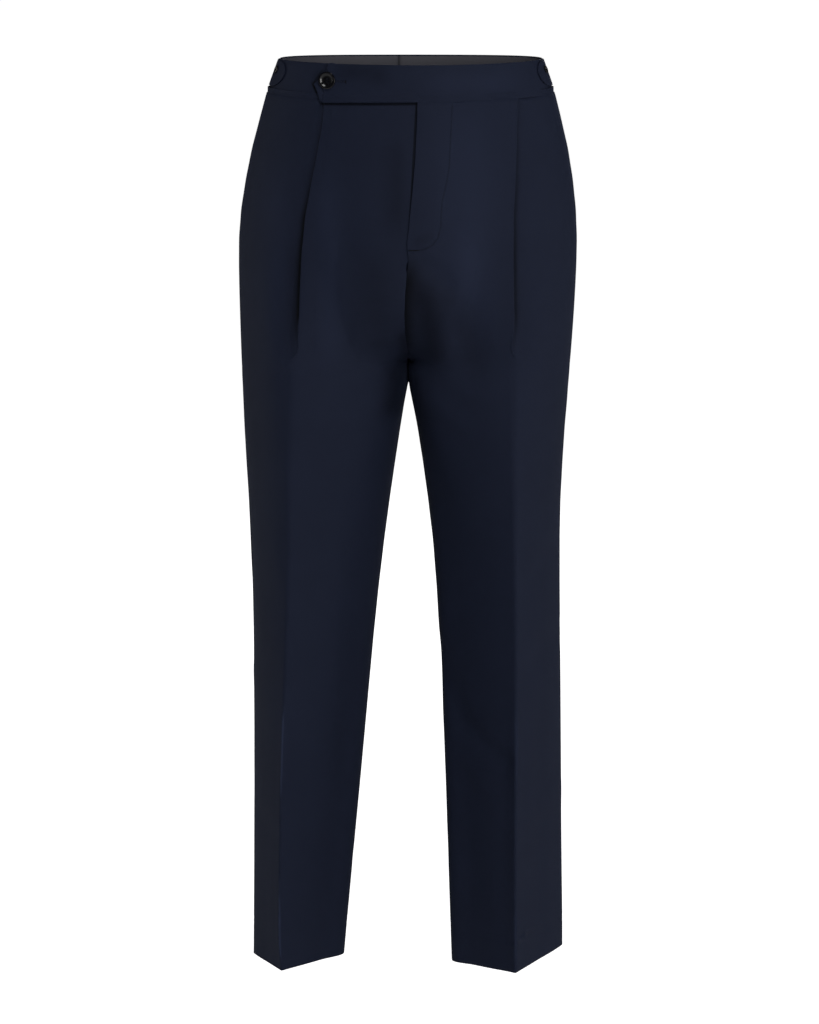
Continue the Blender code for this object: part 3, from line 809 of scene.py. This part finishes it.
def settle(piece):
    """Puts what the piece's modifiers make into its mesh."""
    graph = bpy.context.evaluated_depsgraph_get()
    mesh = bpy.data.meshes.new_from_object(piece.evaluated_get(graph))
    old = piece.data
    piece.modifiers.clear()
    piece.data = mesh
    mesh.name = piece.name
    bpy.data.meshes.remove(old)


def lay_flat(piece):
    """Unfolds a piece into its own map, in metres, with the grain up the map."""
    for other in bpy.context.selected_objects:
        other.select_set(False)
    bpy.context.view_layer.objects.active = piece
    piece.select_set(True)
    piece.data.uv_layers.new(name="Flat")
    bpy.ops.object.mode_set(mode="EDIT")
    bpy.ops.mesh.select_all(action="SELECT")
    bpy.ops.uv.unwrap(method="ANGLE_BASED", margin=0.0)
    bpy.ops.object.mode_set(mode="OBJECT")
    mesh = piece.data
    flat = mesh.uv_layers["Flat"].uv
    length = 0
    flat_length = 0
    grain = Vector((0, 0))
    for polygon in mesh.polygons:
        loops = list(polygon.loop_indices)
        for here, there in zip(loops, loops[1:] + loops[:1]):
            step = mesh.vertices[mesh.loops[there].vertex_index].co
            step = step - mesh.vertices[mesh.loops[here].vertex_index].co
            flat_step = flat[there].vector - flat[here].vector
            length += step.length
            flat_length += flat_step.length
            grain += flat_step * step.z
    scale = length / flat_length
    grain.normalize()
    for loop in flat:
        here = loop.vector * scale
        loop.vector = (here.x * grain.y - here.y * grain.x, here.dot(grain))


def fold_offset(fold, x, z):
    """How far one fold moves the cloth at a place, in millimetres."""
    run = Vector((fold.x1 - fold.x0, fold.z1 - fold.z0))
    length = run.length
    run /= length
    here = Vector((x - fold.x0, z - fold.z0))
    along = here.dot(run) / length
    if along <= -FOLD_OVERRUN or along >= 1 + FOLD_OVERRUN:
        return 0
    side = Vector((-run.y, run.x)) if run.y < 0 else Vector((run.y, -run.x))
    away = here.dot(side) - fold.bow * 4 * along * (1 - along)
    width = fold.right if away > 0 else fold.left
    away /= width
    if abs(away) > FOLD_SPREAD:
        return 0
    ends = smooth((along + FOLD_OVERRUN) / FOLD_FADE) * smooth((1 + FOLD_OVERRUN - along) / FOLD_FADE)
    return fold.depth * ends * (1 - smooth(abs(away) / FOLD_SPREAD)) ** 1.5


def fly_facing_offset(x, z):
    """How far the facing sewn inside the fly pushes the cloth out: 1 inside its seam, 0 outside."""
    if z < FLY_SEAM[-1][1]:
        return 0
    for (x0, z0), (x1, z1) in zip(FLY_SEAM, FLY_SEAM[1:]):
        if z1 <= z:
            break
    seam = x0 + (x1 - x0) * clamp((z - z0) / (z1 - z0))
    return smooth((seam - x) / 4 + 0.5)


def fly_edge_shift(x, z):
    """How far the fly's edge lies beyond its solid's, towards the wearer's left, in millimetres."""
    edge = FLY_EDGE_X + (z - FLY_EDGE_Z) * FLY_EDGE_SLANT
    return FLY_EDGE_SHIFT * (1 - smooth((x - edge) / FLY_EDGE_WIDTH)) * smooth((z - FLY_FOOT) / 16)


def outward(vertex, pleat):
    """Which way the cloth's outer side faces, the same for all the layers of a pleat."""
    for (low, first, out), (high, second, _) in zip(pleat, pleat[1:]):
        if low <= vertex.co.z / MM <= high:
            middle = first.lerp(second, (vertex.co.z / MM - low) / (high - low))
            away = (vertex.co.xy - middle).length
            inside = 1 - smooth((away - 12 * MM) / (8 * MM))
            return vertex.normal.lerp(out.to_3d(), inside).normalized()
    return vertex.normal


def crease_cloth(piece, name, pleat):
    cloth = bpy.context.scene.trousers_cloth
    shape = open_shape(piece.data)
    shape.normal_update()
    ridge = shape.verts.layers.float["ridge"]
    seam = shape.verts.layers.float["seam"]
    for vertex in shape.verts:
        x = vertex.co.x / MM
        z = vertex.co.z / MM
        offset = sum(fold_offset(fold, x, z) for fold in FOLDS[name]) * MM * cloth.fold_strength
        offset += cloth.ridge * vertex[ridge] ** 2
        offset -= cloth.seam_roll * vertex[seam] ** 2 * smooth(abs(z - sum(CROTCH) / 2) / CROTCH_FLAT)
        if name == "front_left":
            offset += fly_facing_offset(x, z) * cloth.facing_step
        vertex.co += outward(vertex, pleat) * offset
        if name == "front_left":
            vertex.co.x += fly_edge_shift(x, z) * MM
    put_back(shape, piece.data)


def lay_shadows(shape, name):
    """Marks the cloth's painted soft shadows and painted highlights, and cuts fine lines into it for the
    narrow ones.
    """
    layers = shape.verts.layers.float
    shade = layers.get("shade") or layers.new("shade")
    for vertex in shape.verts:
        if vertex.normal.y < FRONT_FACING:
            x = vertex.co.x / MM
            z = vertex.co.z / MM
            for fold in SHADOWS.get(name, ()):
                vertex[shade] = 1 - (1 - vertex[shade]) * (1 - fold_offset(fold, x, z))
    for cast in CAST_SHADOWS.get(name, ()):
        start = Vector((cast.x0, 0, cast.z0)) * MM
        end = Vector((cast.x1, 0, cast.z1)) * MM
        run = end - start
        length = run.length
        run /= length
        side = Vector((-run.z, 0, run.x))

        def reach(place):
            along = min(max((place - start).dot(run), 0), length)
            here = place - start - run * along
            return Vector((here.x, here.z)).length

        width = cast.half_width * MM
        for step in (-1, -CAST_CORE, CAST_CORE, 1):
            faces = [
                face for face in shape.faces
                if reach(face.calc_center_median()) < 14 * MM and face.normal.y < 0
            ]
            near = {vertex for face in faces for vertex in face.verts}
            sides = {edge for face in faces for edge in face.edges}
            bmesh.ops.bisect_plane(
                shape, geom=[*near, *sides, *faces], dist=MERGE, plane_co=start + side * step * width,
                plane_no=side,
            )
        for vertex in shape.verts:
            if vertex.normal.y < FRONT_FACING:
                edge = (reach(vertex.co) / width - CAST_CORE) / (1 - CAST_CORE)
                dark = cast.dark * (1 - smooth(edge))
                vertex[shade] = 1 - (1 - vertex[shade]) * (1 - dark)


def hem_line(shape):
    """A soft hollow all round where the turned-up hem ends inside."""
    cloth = bpy.context.scene.trousers_cloth
    low = min(vertex.co.z for vertex in shape.verts)
    line = low + cloth.hem_depth
    for step, depth in ((-10, 0), (-3, 0.16), (3, 0.16), (10, 0)):
        height = line + step * MM
        cut = bmesh.ops.bisect_plane(
            shape, geom=shape.verts[:] + shape.edges[:] + shape.faces[:], dist=MERGE,
            plane_co=(0, 0, height), plane_no=(0, 0, 1),
        )
        if depth:
            shape.normal_update()
            for part in cut["geom_cut"]:
                if isinstance(part, bmesh.types.BMVert):
                    part.co -= part.normal * depth * MM


def ridge_strength(height):
    """A pressed crease stands out in some stretches more than in others."""
    for low, high in RIDGE_STRETCHES:
        if low < height < high:
            return 1
    return 0.55


def press_edges(shape):
    """Keeps the pressed creases crisp below the pleats, as far as the solid turns there."""
    crease = shape.edges.layers.float.new("crease_edge")
    # The ridge mark also raises the crease, and gives it a painted highlight in the weave
    ridge = shape.verts.layers.float.new("ridge")
    for edge in shape.edges:
        run = edge.verts[1].co - edge.verts[0].co
        upright = abs(run.z) > 0.9 * run.length
        if len(edge.link_faces) == 2 and upright and edge.verts[0].co.z < -320 * MM:
            pressed = smooth((edge.calc_face_angle() - radians(14)) / radians(26))
            edge[crease] = 0.92 * pressed
            for vertex in edge.verts:
                vertex[ridge] = max(vertex[ridge], pressed * ridge_strength(vertex.co.z / MM))


def fit_curve(piece):
    """Moves the control points until the smooth surface passes through the solid's own points."""
    aims = [vertex.co.copy() for vertex in piece.data.vertices]
    for _ in range(6):
        curved = piece.evaluated_get(bpy.context.evaluated_depsgraph_get())
        made = curved.to_mesh()
        steps = [aim - made.vertices[i].co for i, aim in enumerate(aims)]
        curved.to_mesh_clear()
        for vertex, step in zip(piece.data.vertices, steps):
            vertex.co += step
        piece.data.update()


def add_wall(piece, thickness):
    """Gives the cloth its thickness: its inner layer follows its outer one, point by point."""
    finish = piece.data.materials[0]
    piece.data.materials.append(finish)
    wall = piece.modifiers.new("Wall", "SOLIDIFY")
    wall.thickness = thickness
    wall.offset = -1
    wall.use_quality_normals = True
    wall.material_offset_rim = 1
    settle(piece)


def round_edges(piece, edge):
    """Rounds the cloth where it ends."""
    shape = open_shape(piece.data)
    rims = [
        side for side in shape.edges
        if len(side.link_faces) == 2 and len({face.material_index for face in side.link_faces}) == 2
    ]
    bmesh.ops.bevel(
        shape, geom=rims, offset=edge, offset_type="OFFSET", segments=2, profile=0.5, affect="EDGES",
        material=-1, clamp_overlap=True,
    )
    for face in shape.faces:
        face.material_index = 0
    put_back(shape, piece.data)
    piece.data.materials.pop(index=1)
    piece.data.shade_smooth()


def make_fine(piece):
    fine = piece.modifiers.new("Fine", "SUBSURF")
    fine.levels = fine.render_levels = 2
    fine.boundary_smooth = "PRESERVE_CORNERS"
    fit_curve(piece)
    settle(piece)


def shape_panel(name):
    """A panel as one smooth layer of cloth, still without its folds, and the run of its pleat."""
    cloth = bpy.context.scene.trousers_cloth
    shape = outer_face(name)
    pleat = press_pleat(shape, name) if name in PLEATS else ()
    close_seams(shape, name, PANELS)
    piece = new_piece(name + "_cloth", shape, "navy_wool")
    lay_flat(piece)
    shape = open_shape(piece.data)
    tall = [
        edge for edge in shape.edges
        if abs(edge.verts[0].co.z - edge.verts[1].co.z) > cloth.longest_cell
    ]
    bmesh.ops.subdivide_edges(shape, edges=tall, cuts=1, use_grid_fill=True)
    press_edges(shape)
    put_back(shape, piece.data)
    make_fine(piece)
    return piece, pleat


def edge_places(piece):
    """Which of a piece's points lie on its edges."""
    shape = open_shape(piece.data)
    rim = [vertex.index for vertex in shape.verts if vertex.is_boundary]
    shape.free()
    return rim


def sewn_points(rims, places):
    """For each point on a panel's edges, the points of other panels that it is sewn to, as (panel, point)."""
    edges = [spots_of([(i, spots[i]) for i in rim]) for rim, spots in zip(rims, places)]
    sewn = []
    for own, (rim, spots) in enumerate(zip(rims, places)):
        found = {}
        for i in rim:
            reach = CROTCH_MEETS if CROTCH[0] * MM < spots[i].z < CROTCH[1] * MM else SEAM_MEETS
            for other, edge in enumerate(edges):
                place, j, away = edge.find(spots[i])
                if other != own and away < reach and edges[own].find(place)[1] == i:
                    found.setdefault(i, [(own, i)]).append((other, j))
        sewn.append(found)
    return sewn


def meet_at_seams(pieces, rims, sewn, smooth_places):
    """Brings the folded panels' edges together, and eases the cloth beside them."""
    folded = [[vertex.co.copy() for vertex in piece.data.vertices] for piece in pieces]
    for piece, rim, found, own, places in zip(pieces, rims, sewn, folded, smooth_places):
        edge = spots_of([(i, places[i]) for i in rim])
        moves = {}
        for i in rim:
            met = [folded[panel][j] for panel, j in found.get(i, ())] or [own[i]]
            moves[i] = sum(met, Vector()) / len(met) - own[i]
        for vertex, place in zip(piece.data.vertices, places):
            near = edge.find_n(place, 5)
            ease = 1 - smooth(near[0][2] / SEAM_EASE)
            if ease:
                weights = [1 / (away + 0.001 * MM) ** 2 for _, _, away in near]
                move = sum((moves[j] * weight for (_, j, _), weight in zip(near, weights)), Vector())
                vertex.co += move * ease / sum(weights)


def close_walls(pieces, sewn):
    """Gives both sides of a seam one cut edge through the whole thickness of the cloth."""
    layers = [[vertex.co.copy() for vertex in piece.data.vertices] for piece in pieces]
    for piece, found in zip(pieces, sewn):
        half = len(piece.data.vertices) // 2
        for i, met in found.items():
            outer = [layers[panel][j] for panel, j in met]
            inner = [layers[panel][j + len(layers[panel]) // 2] for panel, j in met]
            piece.data.vertices[i].co = sum(outer, Vector()) / len(met)
            piece.data.vertices[i + half].co = sum(inner, Vector()) / len(met)


def tuck_top(shape):
    """Runs a panel's top edge up at the waistband, and a little inwards."""
    top = [
        edge for edge in shape.edges
        if edge.is_boundary and edge.verts[0].co.z > -60 * MM
        and abs(edge.verts[0].co.z - edge.verts[1].co.z) < 0.5 * edge.calc_length()
    ]
    flat = shape.loops.layers.uv["Flat"]
    risen = inwards = 0
    for rise, inward in TUCK:
        made = bmesh.ops.extrude_edge_only(shape, edges=top)["geom"]
        top = [part for part in made if isinstance(part, bmesh.types.BMEdge)]
        for vertex in made:
            if isinstance(vertex, bmesh.types.BMVert):
                out = Vector((vertex.normal.x, vertex.normal.y, 0)).normalized()
                vertex.co -= out * (inward - inwards) * MM
                vertex.co.z += (rise - risen) * MM
                for loop in vertex.link_loops:
                    loop[flat].uv.y += (rise - risen) * MM
        risen, inwards = rise, inward


def line_panel(piece, name):
    """The hem's line, the painted shadows and highlights, and the top edge of a panel."""
    shape = open_shape(piece.data)
    hem_line(shape)
    shape.normal_update()
    lay_shadows(shape, name)
    tuck_top(shape)
    put_back(shape, piece.data)


def finish_cloth(piece, name):
    round_edges(piece, bpy.context.scene.trousers_cloth.edge)
    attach(piece, "root")
    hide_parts(name)


def trim_tip(shape):
    """Brings the pointed end of the extension in, and its point down."""
    shape.normal_update()
    for vertex in shape.verts:
        x = vertex.co.x / MM
        if x < TIP_FROM and vertex.co.y < 0:
            along = Vector((-vertex.normal.y, vertex.normal.x, 0)).normalized()
            away = abs(vertex.co.z / MM - POINT_HEIGHT)
            lower = smooth((POINT_FROM - x) / 13) * (1 - smooth(away / 15))
            vertex.co += along * TIP_INWARD * MM * smooth((TIP_FROM - x) / 20)
            vertex.co.z -= POINT_LOWER * MM * lower


def curl_free_edge(shape):
    """Lifts the waistband extension's lower and pointed edges off what lies under it."""
    cloth = bpy.context.scene.trousers_cloth
    shape.normal_update()
    free = [
        vertex.co.copy() for vertex in shape.verts
        if vertex.is_boundary and vertex.co.x < EXTENSION_FROM and vertex.co.z < 17 * MM
        and vertex.co.y < 0
    ]
    edge = spots_of(list(enumerate(free)))
    for vertex in shape.verts:
        start = smooth((EXTENSION_FROM + 12 * MM - vertex.co.x) / (20 * MM))
        near = 1 - smooth(edge.find(vertex.co)[2] / cloth.curl_width)
        vertex.co += vertex.normal * cloth.curl * near * start


def build_strap(name, finish, thickness):
    """A band, facing or tab: its solid's own outline, in a fine grid."""
    shape = outer_face(name)
    kind = name.rsplit("_", 1)[0]
    close_seams(shape, name, [kind + "_right", kind + "_left"])
    piece = new_piece(name + "_cloth", shape, finish)
    lay_flat(piece)
    make_fine(piece)
    shape = open_shape(piece.data)
    if name == "waistband_left":
        trim_tip(shape)
        curl_free_edge(shape)
    shape.normal_update()
    lay_shadows(shape, name)
    put_back(shape, piece.data)
    add_wall(piece, thickness)
    finish_cloth(piece, name)


# Sewing

def tree_of(*names):
    """The faces of each of some finished pieces, to lay things on."""
    graph = bpy.context.evaluated_depsgraph_get()
    return [BVHTree.FromObject(bpy.data.objects[name], graph) for name in names]


def seen_from_front(trees, x, z):
    """Where a line from straight ahead first meets the cloth, and which way the cloth faces there."""
    best = None
    for tree in trees:
        place, normal, _, _ = tree.ray_cast(Vector((x, -1, z)), Vector((0, 1, 0)))
        if place and (best is None or place.y < best[0].y):
            best = (place, normal)
    if best is None:
        raise RuntimeError("no cloth lies behind x = %.4f, z = %.4f" % (x, z))
    return best


def add_stitch(shape, start, end, normal, thickness, sunk):
    """One stitch: a slim bead of thread along its line, half sunk into the cloth."""
    run = end - start
    side = normal.cross(run).normalized()
    up = run.cross(side).normalized()
    middle = (start + end) / 2 + normal * thickness * (0.5 - sunk)
    turned = Matrix((run.normalized(), side, up)).transposed().to_4x4()
    size = Matrix.Diagonal((run.length / 2, thickness / 2, thickness / 2, 1))
    bmesh.ops.create_uvsphere(
        shape, u_segments=6, v_segments=5, radius=1,
        matrix=Matrix.Translation(middle) @ turned @ size @ Matrix.Rotation(pi / 2, 4, "Y"),
    )


def lay_stitch(shape, trees, here, there, thickness, sunk=0.2):
    """A stitch on the cloth, between two places as seen from straight ahead."""
    first, normal = seen_from_front(trees, here.x, here.y)
    last, _ = seen_from_front(trees, there.x, there.y)
    add_stitch(shape, first, last, normal, thickness, sunk)


def stitch_along(shape, trees, line, sewing):
    """A row of stitches along a line of (x, z) points in millimetres."""
    points = [Vector((x * MM, z * MM)) for x, z in line]
    step = sewing.stitch + sewing.gap
    walked = 0.0
    for start, end in zip(points, points[1:]):
        length = (end - start).length
        while walked < length:
            here = start.lerp(end, walked / length)
            there = start.lerp(end, min((walked + sewing.stitch) / length, 1.05))
            lay_stitch(shape, trees, here, there, sewing.thread)
            walked += step
        walked -= length


def sew_bar(shape, trees, x0, z0, x1, z1, width, sewing):
    """A bar tack: close stitches laid across a short line."""
    start = Vector((x0, z0)) * MM
    end = Vector((x1, z1)) * MM
    run = end - start
    across = Vector((-run.y, run.x)).normalized() * width / 2
    count = max(int(run.length / (sewing.thread * 0.9)), 2)
    for i in range(count + 1):
        middle = start.lerp(end, i / count)
        lay_stitch(shape, trees, middle - across, middle + across, sewing.thread, 0.1)


def sew_buttonhole(shape, bar, trees, hole, sewing):
    """Two close rows of stitches with a slit between them, and a bar at the far end."""
    start = Vector((hole.x0, hole.z0)) * MM
    end = Vector((hole.x1, hole.z1)) * MM
    run = end - start
    across = Vector((-run.y, run.x)).normalized()
    inner = 0.15 * MM
    outer = inner + sewing.hole_stitch
    count = int(run.length / (sewing.thread * 0.95))
    for i in range(count + 1):
        middle = start.lerp(end, i / count)
        for way in (-1, 1):
            near = middle + across * inner * way
            far = middle + across * outer * way
            lay_stitch(shape, trees, near, far, sewing.thread, 0.05)
    for i in range(4):
        middle = end + run.normalized() * sewing.thread * (i + 0.6)
        low = middle - across * 2 * outer
        high = middle + across * 2 * outer
        lay_stitch(bar, trees, low, high, sewing.thread * 1.1, 0)


def build_sewing(name, shape, finish="sewing_thread"):
    piece = new_piece(name, shape, finish)
    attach(piece, "root")


# Buttons

def button_face(radius, height, rim, dish):
    """A button on the plane z = 0 that faces +Z, turned from its profile."""
    floor = height - dish
    profile = (
        (0, 0), (radius * 0.84, 0), (radius * 0.96, height * 0.2), (radius, height * 0.5),
        (radius * 0.99, height * 0.84), (radius * 0.972, height * 0.96), (radius * 0.94, height),
        (radius - rim * 0.62, height), (radius - rim * 0.76, height - dish * 0.08),
        (radius - rim * 0.92, height - dish * 0.24), (radius - rim * 1.3, height - dish * 0.8),
        (radius - rim * 1.42, floor + dish * 0.04), (radius - rim * 1.6, floor), (0, floor),
    )
    shape = bmesh.new()
    points = [shape.verts.new((reach, 0, z)) for reach, z in profile]
    edges = [shape.edges.new(pair) for pair in zip(points, points[1:])]
    bmesh.ops.spin(
        shape, geom=points + edges, cent=(0, 0, 0), axis=(0, 0, 1), angle=2 * pi, steps=64, use_merge=True
    )
    bmesh.ops.remove_doubles(shape, verts=shape.verts, dist=MERGE)
    bmesh.ops.recalc_face_normals(shape, faces=shape.faces)
    return shape


def drill(piece, radius, spacing, depth):
    """Four holes through a button."""
    shape = bmesh.new()
    for quarter in range(4):
        turn = pi / 4 + quarter * pi / 2
        place = Matrix.Translation((cos(turn) * spacing, sin(turn) * spacing, 0))
        bmesh.ops.create_cone(
            shape, cap_ends=True, segments=20, radius1=radius, radius2=radius, depth=depth, matrix=place
        )
    mesh = put_back(shape, bpy.data.meshes.new("drill"))
    bit = new_object("drill", mesh)
    cut = piece.modifiers.new("Holes", "BOOLEAN")
    cut.object = bit
    cut.operation = "DIFFERENCE"
    cut.solver = "EXACT"
    settle(piece)
    bpy.data.objects.remove(bit)
    bpy.data.meshes.remove(mesh)


def cloth_under(node, under):
    """The middle of a button's solid on the face of the cloth under it, and that cloth's outward way."""
    low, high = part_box(node)
    middle = (low + high) / 2
    place, _, _, _ = tree_of(under)[0].find_nearest(middle)
    return place, (middle - place).normalized()


def build_button(node, under):
    """A button with its thread, seated where its solid is."""
    low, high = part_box(node)
    radius = (high.z - low.z) / 2 * (FRONT_BUTTON_SIZE if node == "button_front" else 1)
    height = radius * BUTTON_HEIGHT
    shape = button_face(radius, height, radius * BUTTON_RIM, radius * BUTTON_DISH)
    piece = new_piece(node + "_polished", shape, "polished_button")
    spacing = radius * HOLE_SPACING
    drill(piece, radius * HOLE_RADIUS, spacing, 4 * height)
    place, out = cloth_under(node, under)
    side = Vector((0, 0, 1)).cross(out).normalized()
    up = out.cross(side)
    turned = Matrix((side, up, out)).transposed().to_4x4()
    seat = Matrix.Translation(place + out * 0.3 * MM) @ turned
    piece.data.transform(seat)
    piece.data.shade_smooth()
    piece.data.set_sharp_from_angle(angle=radians(35))
    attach(piece, "root")
    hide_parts(node)

    shape = bmesh.new()
    floor = height - radius * BUTTON_DISH
    reach = spacing * cos(pi / 4)
    thread = radius * BUTTON_THREAD
    for row in (-1, 1):
        for strand in (-1, 0, 1):
            y = row * reach + strand * thread * 0.8
            start = seat @ Vector((-reach * 1.25, y, floor))
            end = seat @ Vector((reach * 1.25, y, floor))
            add_stitch(shape, start, end, out, thread * 1.3, 0.1)
    build_sewing(node + "_thread", shape)


# Operators

class TROUSERS_OT_panels(bpy.types.Operator):
    """Front and back panels, with their folds"""

    bl_idname = "trousers.panels"
    bl_label = "Panels"

    def execute(self, context):
        made = [shape_panel(name) for name in PANELS]
        pieces = [piece for piece, _ in made]
        smooth_places = [[vertex.co.copy() for vertex in piece.data.vertices] for piece in pieces]
        rims = [edge_places(piece) for piece in pieces]
        for name, (piece, pleat) in zip(PANELS, made):
            crease_cloth(piece, name, pleat)
        meet_at_seams(pieces, rims, sewn_points(rims, smooth_places), smooth_places)
        for name, piece in zip(PANELS, pieces):
            line_panel(piece, name)
        rims = [edge_places(piece) for piece in pieces]
        sewn = sewn_points(rims, [[vertex.co.copy() for vertex in piece.data.vertices] for piece in pieces])
        for piece in pieces:
            add_wall(piece, context.scene.trousers_cloth.wall)
        close_walls(pieces, sewn)
        for name, piece in zip(PANELS, pieces):
            finish_cloth(piece, name)
        return {"FINISHED"}


class TROUSERS_OT_waistband(bpy.types.Operator):
    """Both halves of the waistband and its facing"""

    bl_idname = "trousers.waistband"
    bl_label = "Waistband"

    def execute(self, context):
        wall = context.scene.trousers_cloth.wall
        for side in ("right", "left"):
            build_strap("waistband_" + side, "navy_wool", BAND_WALL * wall)
            build_strap("facing_" + side, "grey_facing", FACING_WALL * wall)
        return {"FINISHED"}


class TROUSERS_OT_side_tabs(bpy.types.Operator):
    """The strap on each side of the waistband"""

    bl_idname = "trousers.side_tabs"
    bl_label = "Side tabs"

    def execute(self, context):
        wall = context.scene.trousers_cloth.wall
        for side in ("right", "left"):
            build_strap("side_tab_" + side, "navy_wool", wall)
        return {"FINISHED"}


class TROUSERS_OT_fly_sewing(bpy.types.Operator):
    """The curved seam beside the fly and the bar at its foot"""

    bl_idname = "trousers.fly_sewing"
    bl_label = "Fly sewing"

    def execute(self, context):
        sewing = context.scene.trousers_sewing
        trees = tree_of("front_left_cloth", "front_right_cloth")
        shape = bmesh.new()
        stitch_along(shape, trees, FLY_SEAM, sewing)
        sew_bar(shape, trees, *FLY_BAR, FLY_BAR_WIDTH, sewing)
        build_sewing("fly_stitches", shape)
        return {"FINISHED"}


class TROUSERS_OT_buttonholes(bpy.types.Operator):
    """The buttonhole in the waistband's extension"""

    bl_idname = "trousers.buttonholes"
    bl_label = "Buttonholes"

    def execute(self, context):
        shape = bmesh.new()
        bar = bmesh.new()
        trees = tree_of("waistband_left_cloth")
        sew_buttonhole(shape, bar, trees, FRONT_BUTTONHOLE, context.scene.trousers_sewing)
        build_sewing("buttonhole_stitches", shape, "buttonhole_twist")
        build_sewing("buttonhole_bar", bar)
        return {"FINISHED"}


class TROUSERS_OT_buttons(bpy.types.Operator):
    """The waistband button and the side tabs' buttons"""

    bl_idname = "trousers.buttons"
    bl_label = "Buttons"

    def execute(self, context):
        build_button("button_front", "waistband_left_cloth")
        build_button("button_side_right", "side_tab_right_cloth")
        build_button("button_side_left", "side_tab_left_cloth")
        return {"FINISHED"}


def area_light(name, azimuth, height, power):
    """A soft box that faces the trousers. The azimuth runs from straight ahead to the wearer's left."""
    data = bpy.data.lights.new(name, "AREA")
    data.shape = "RECTANGLE"
    data.size = 1.2
    data.size_y = 2.0
    data.energy = power
    light = new_object(name, data)
    way = Vector((sin(azimuth) * cos(height), -cos(azimuth) * cos(height), sin(height)))
    light.location = Vector((0, 0, -0.5)) + 3.5 * way
    light.rotation_euler = way.to_track_quat("Z", "Y").to_euler()


class TROUSERS_OT_stage(bpy.types.Operator):
    """A white floor, soft lights at both sides and the camera"""

    bl_idname = "trousers.stage"
    bl_label = "Stage"

    def execute(self, context):
        stage = context.scene.trousers_stage
        shape = bmesh.new()
        bmesh.ops.create_grid(
            shape, x_segments=1, y_segments=1, size=30, matrix=Matrix.Translation((0, 0, stage.floor))
        )
        floor = new_object("floor", put_back(shape, bpy.data.meshes.new("floor")))
        paper, tree, shader = new_material("white_paper", {
            "Base Color": (0.92, 0.92, 0.92, 1), "Roughness": 0.9, "Emission Color": (1, 1, 1, 1),
        })
        rays = add_node(tree, "LightPath")
        glow = add_node(tree, "MapRange", {"To Min": 0.01, "To Max": 1.0})
        link_all(
            tree,
            (rays.outputs["Is Camera Ray"], glow.inputs["Value"]),
            (glow.outputs[0], shader.inputs["Emission Strength"]),
        )
        floor.data.materials.append(paper)

        for name, azimuth, height, power in STUDIO_LIGHTS:
            area_light(name, radians(azimuth), radians(height), power)

        world = bpy.data.worlds.new("studio")
        context.scene.world = world
        world.use_nodes = True
        tree = world.node_tree
        seen = tree.nodes["Background"]
        seen.inputs["Color"].default_value = (1, 1, 1, 1)
        seen.inputs["Strength"].default_value = 1.0
        light = add_node(tree, "Background", {"Color": (1, 1, 1, 1), "Strength": 0.01})
        rays = add_node(tree, "LightPath")
        mix = add_node(tree, "MixShader")
        link_all(
            tree,
            (rays.outputs["Is Camera Ray"], mix.inputs[0]),
            (light.outputs[0], mix.inputs[1]),
            (seen.outputs[0], mix.inputs[2]),
            (mix.outputs[0], tree.nodes["World Output"].inputs["Surface"]),
        )

        data = bpy.data.cameras.new("camera")
        data.sensor_width = 36
        data.lens = stage.lens
        camera = new_object("camera", data)
        camera.location = (0, -stage.distance, stage.height)
        camera.rotation_euler = (pi / 2 - stage.tilt, 0, 0)
        context.scene.camera = camera
        context.scene.view_settings.view_transform = "Standard"
        return {"FINISHED"}


OPERATORS = (
    TROUSERS_OT_stage,
    TROUSERS_OT_panels,
    TROUSERS_OT_waistband,
    TROUSERS_OT_side_tabs,
    TROUSERS_OT_fly_sewing,
    TROUSERS_OT_buttonholes,
    TROUSERS_OT_buttons,
)


class TROUSERS_PT_build(bpy.types.Panel):
    """Every step of the trousers, in order"""

    bl_label = "Pleated dress trousers"
    bl_space_type = "VIEW_3D"
    bl_region_type = "UI"
    bl_category = "Trousers"

    def draw(self, context):
        for name, group in SETTINGS.items():
            box = self.layout.box()
            for size in group.__annotations__:
                box.prop(getattr(context.scene, name), size)
        for operator in OPERATORS:
            self.layout.operator(operator.bl_idname)


def register():
    for name, group in SETTINGS.items():
        bpy.utils.register_class(group)
        setattr(bpy.types.Scene, name, PointerProperty(type=group))
    for made in (*OPERATORS, TROUSERS_PT_build):
        bpy.utils.register_class(made)


def unregister():
    for made in reversed((*OPERATORS, TROUSERS_PT_build)):
        bpy.utils.unregister_class(made)
    for name, group in reversed(SETTINGS.items()):
        delattr(bpy.types.Scene, name)
        bpy.utils.unregister_class(group)


def main():
    register()
    for operator in OPERATORS:
        group, name = operator.bl_idname.split(".")
        getattr(getattr(bpy.ops, group), name)()


if __name__ == "__main__":
    main()
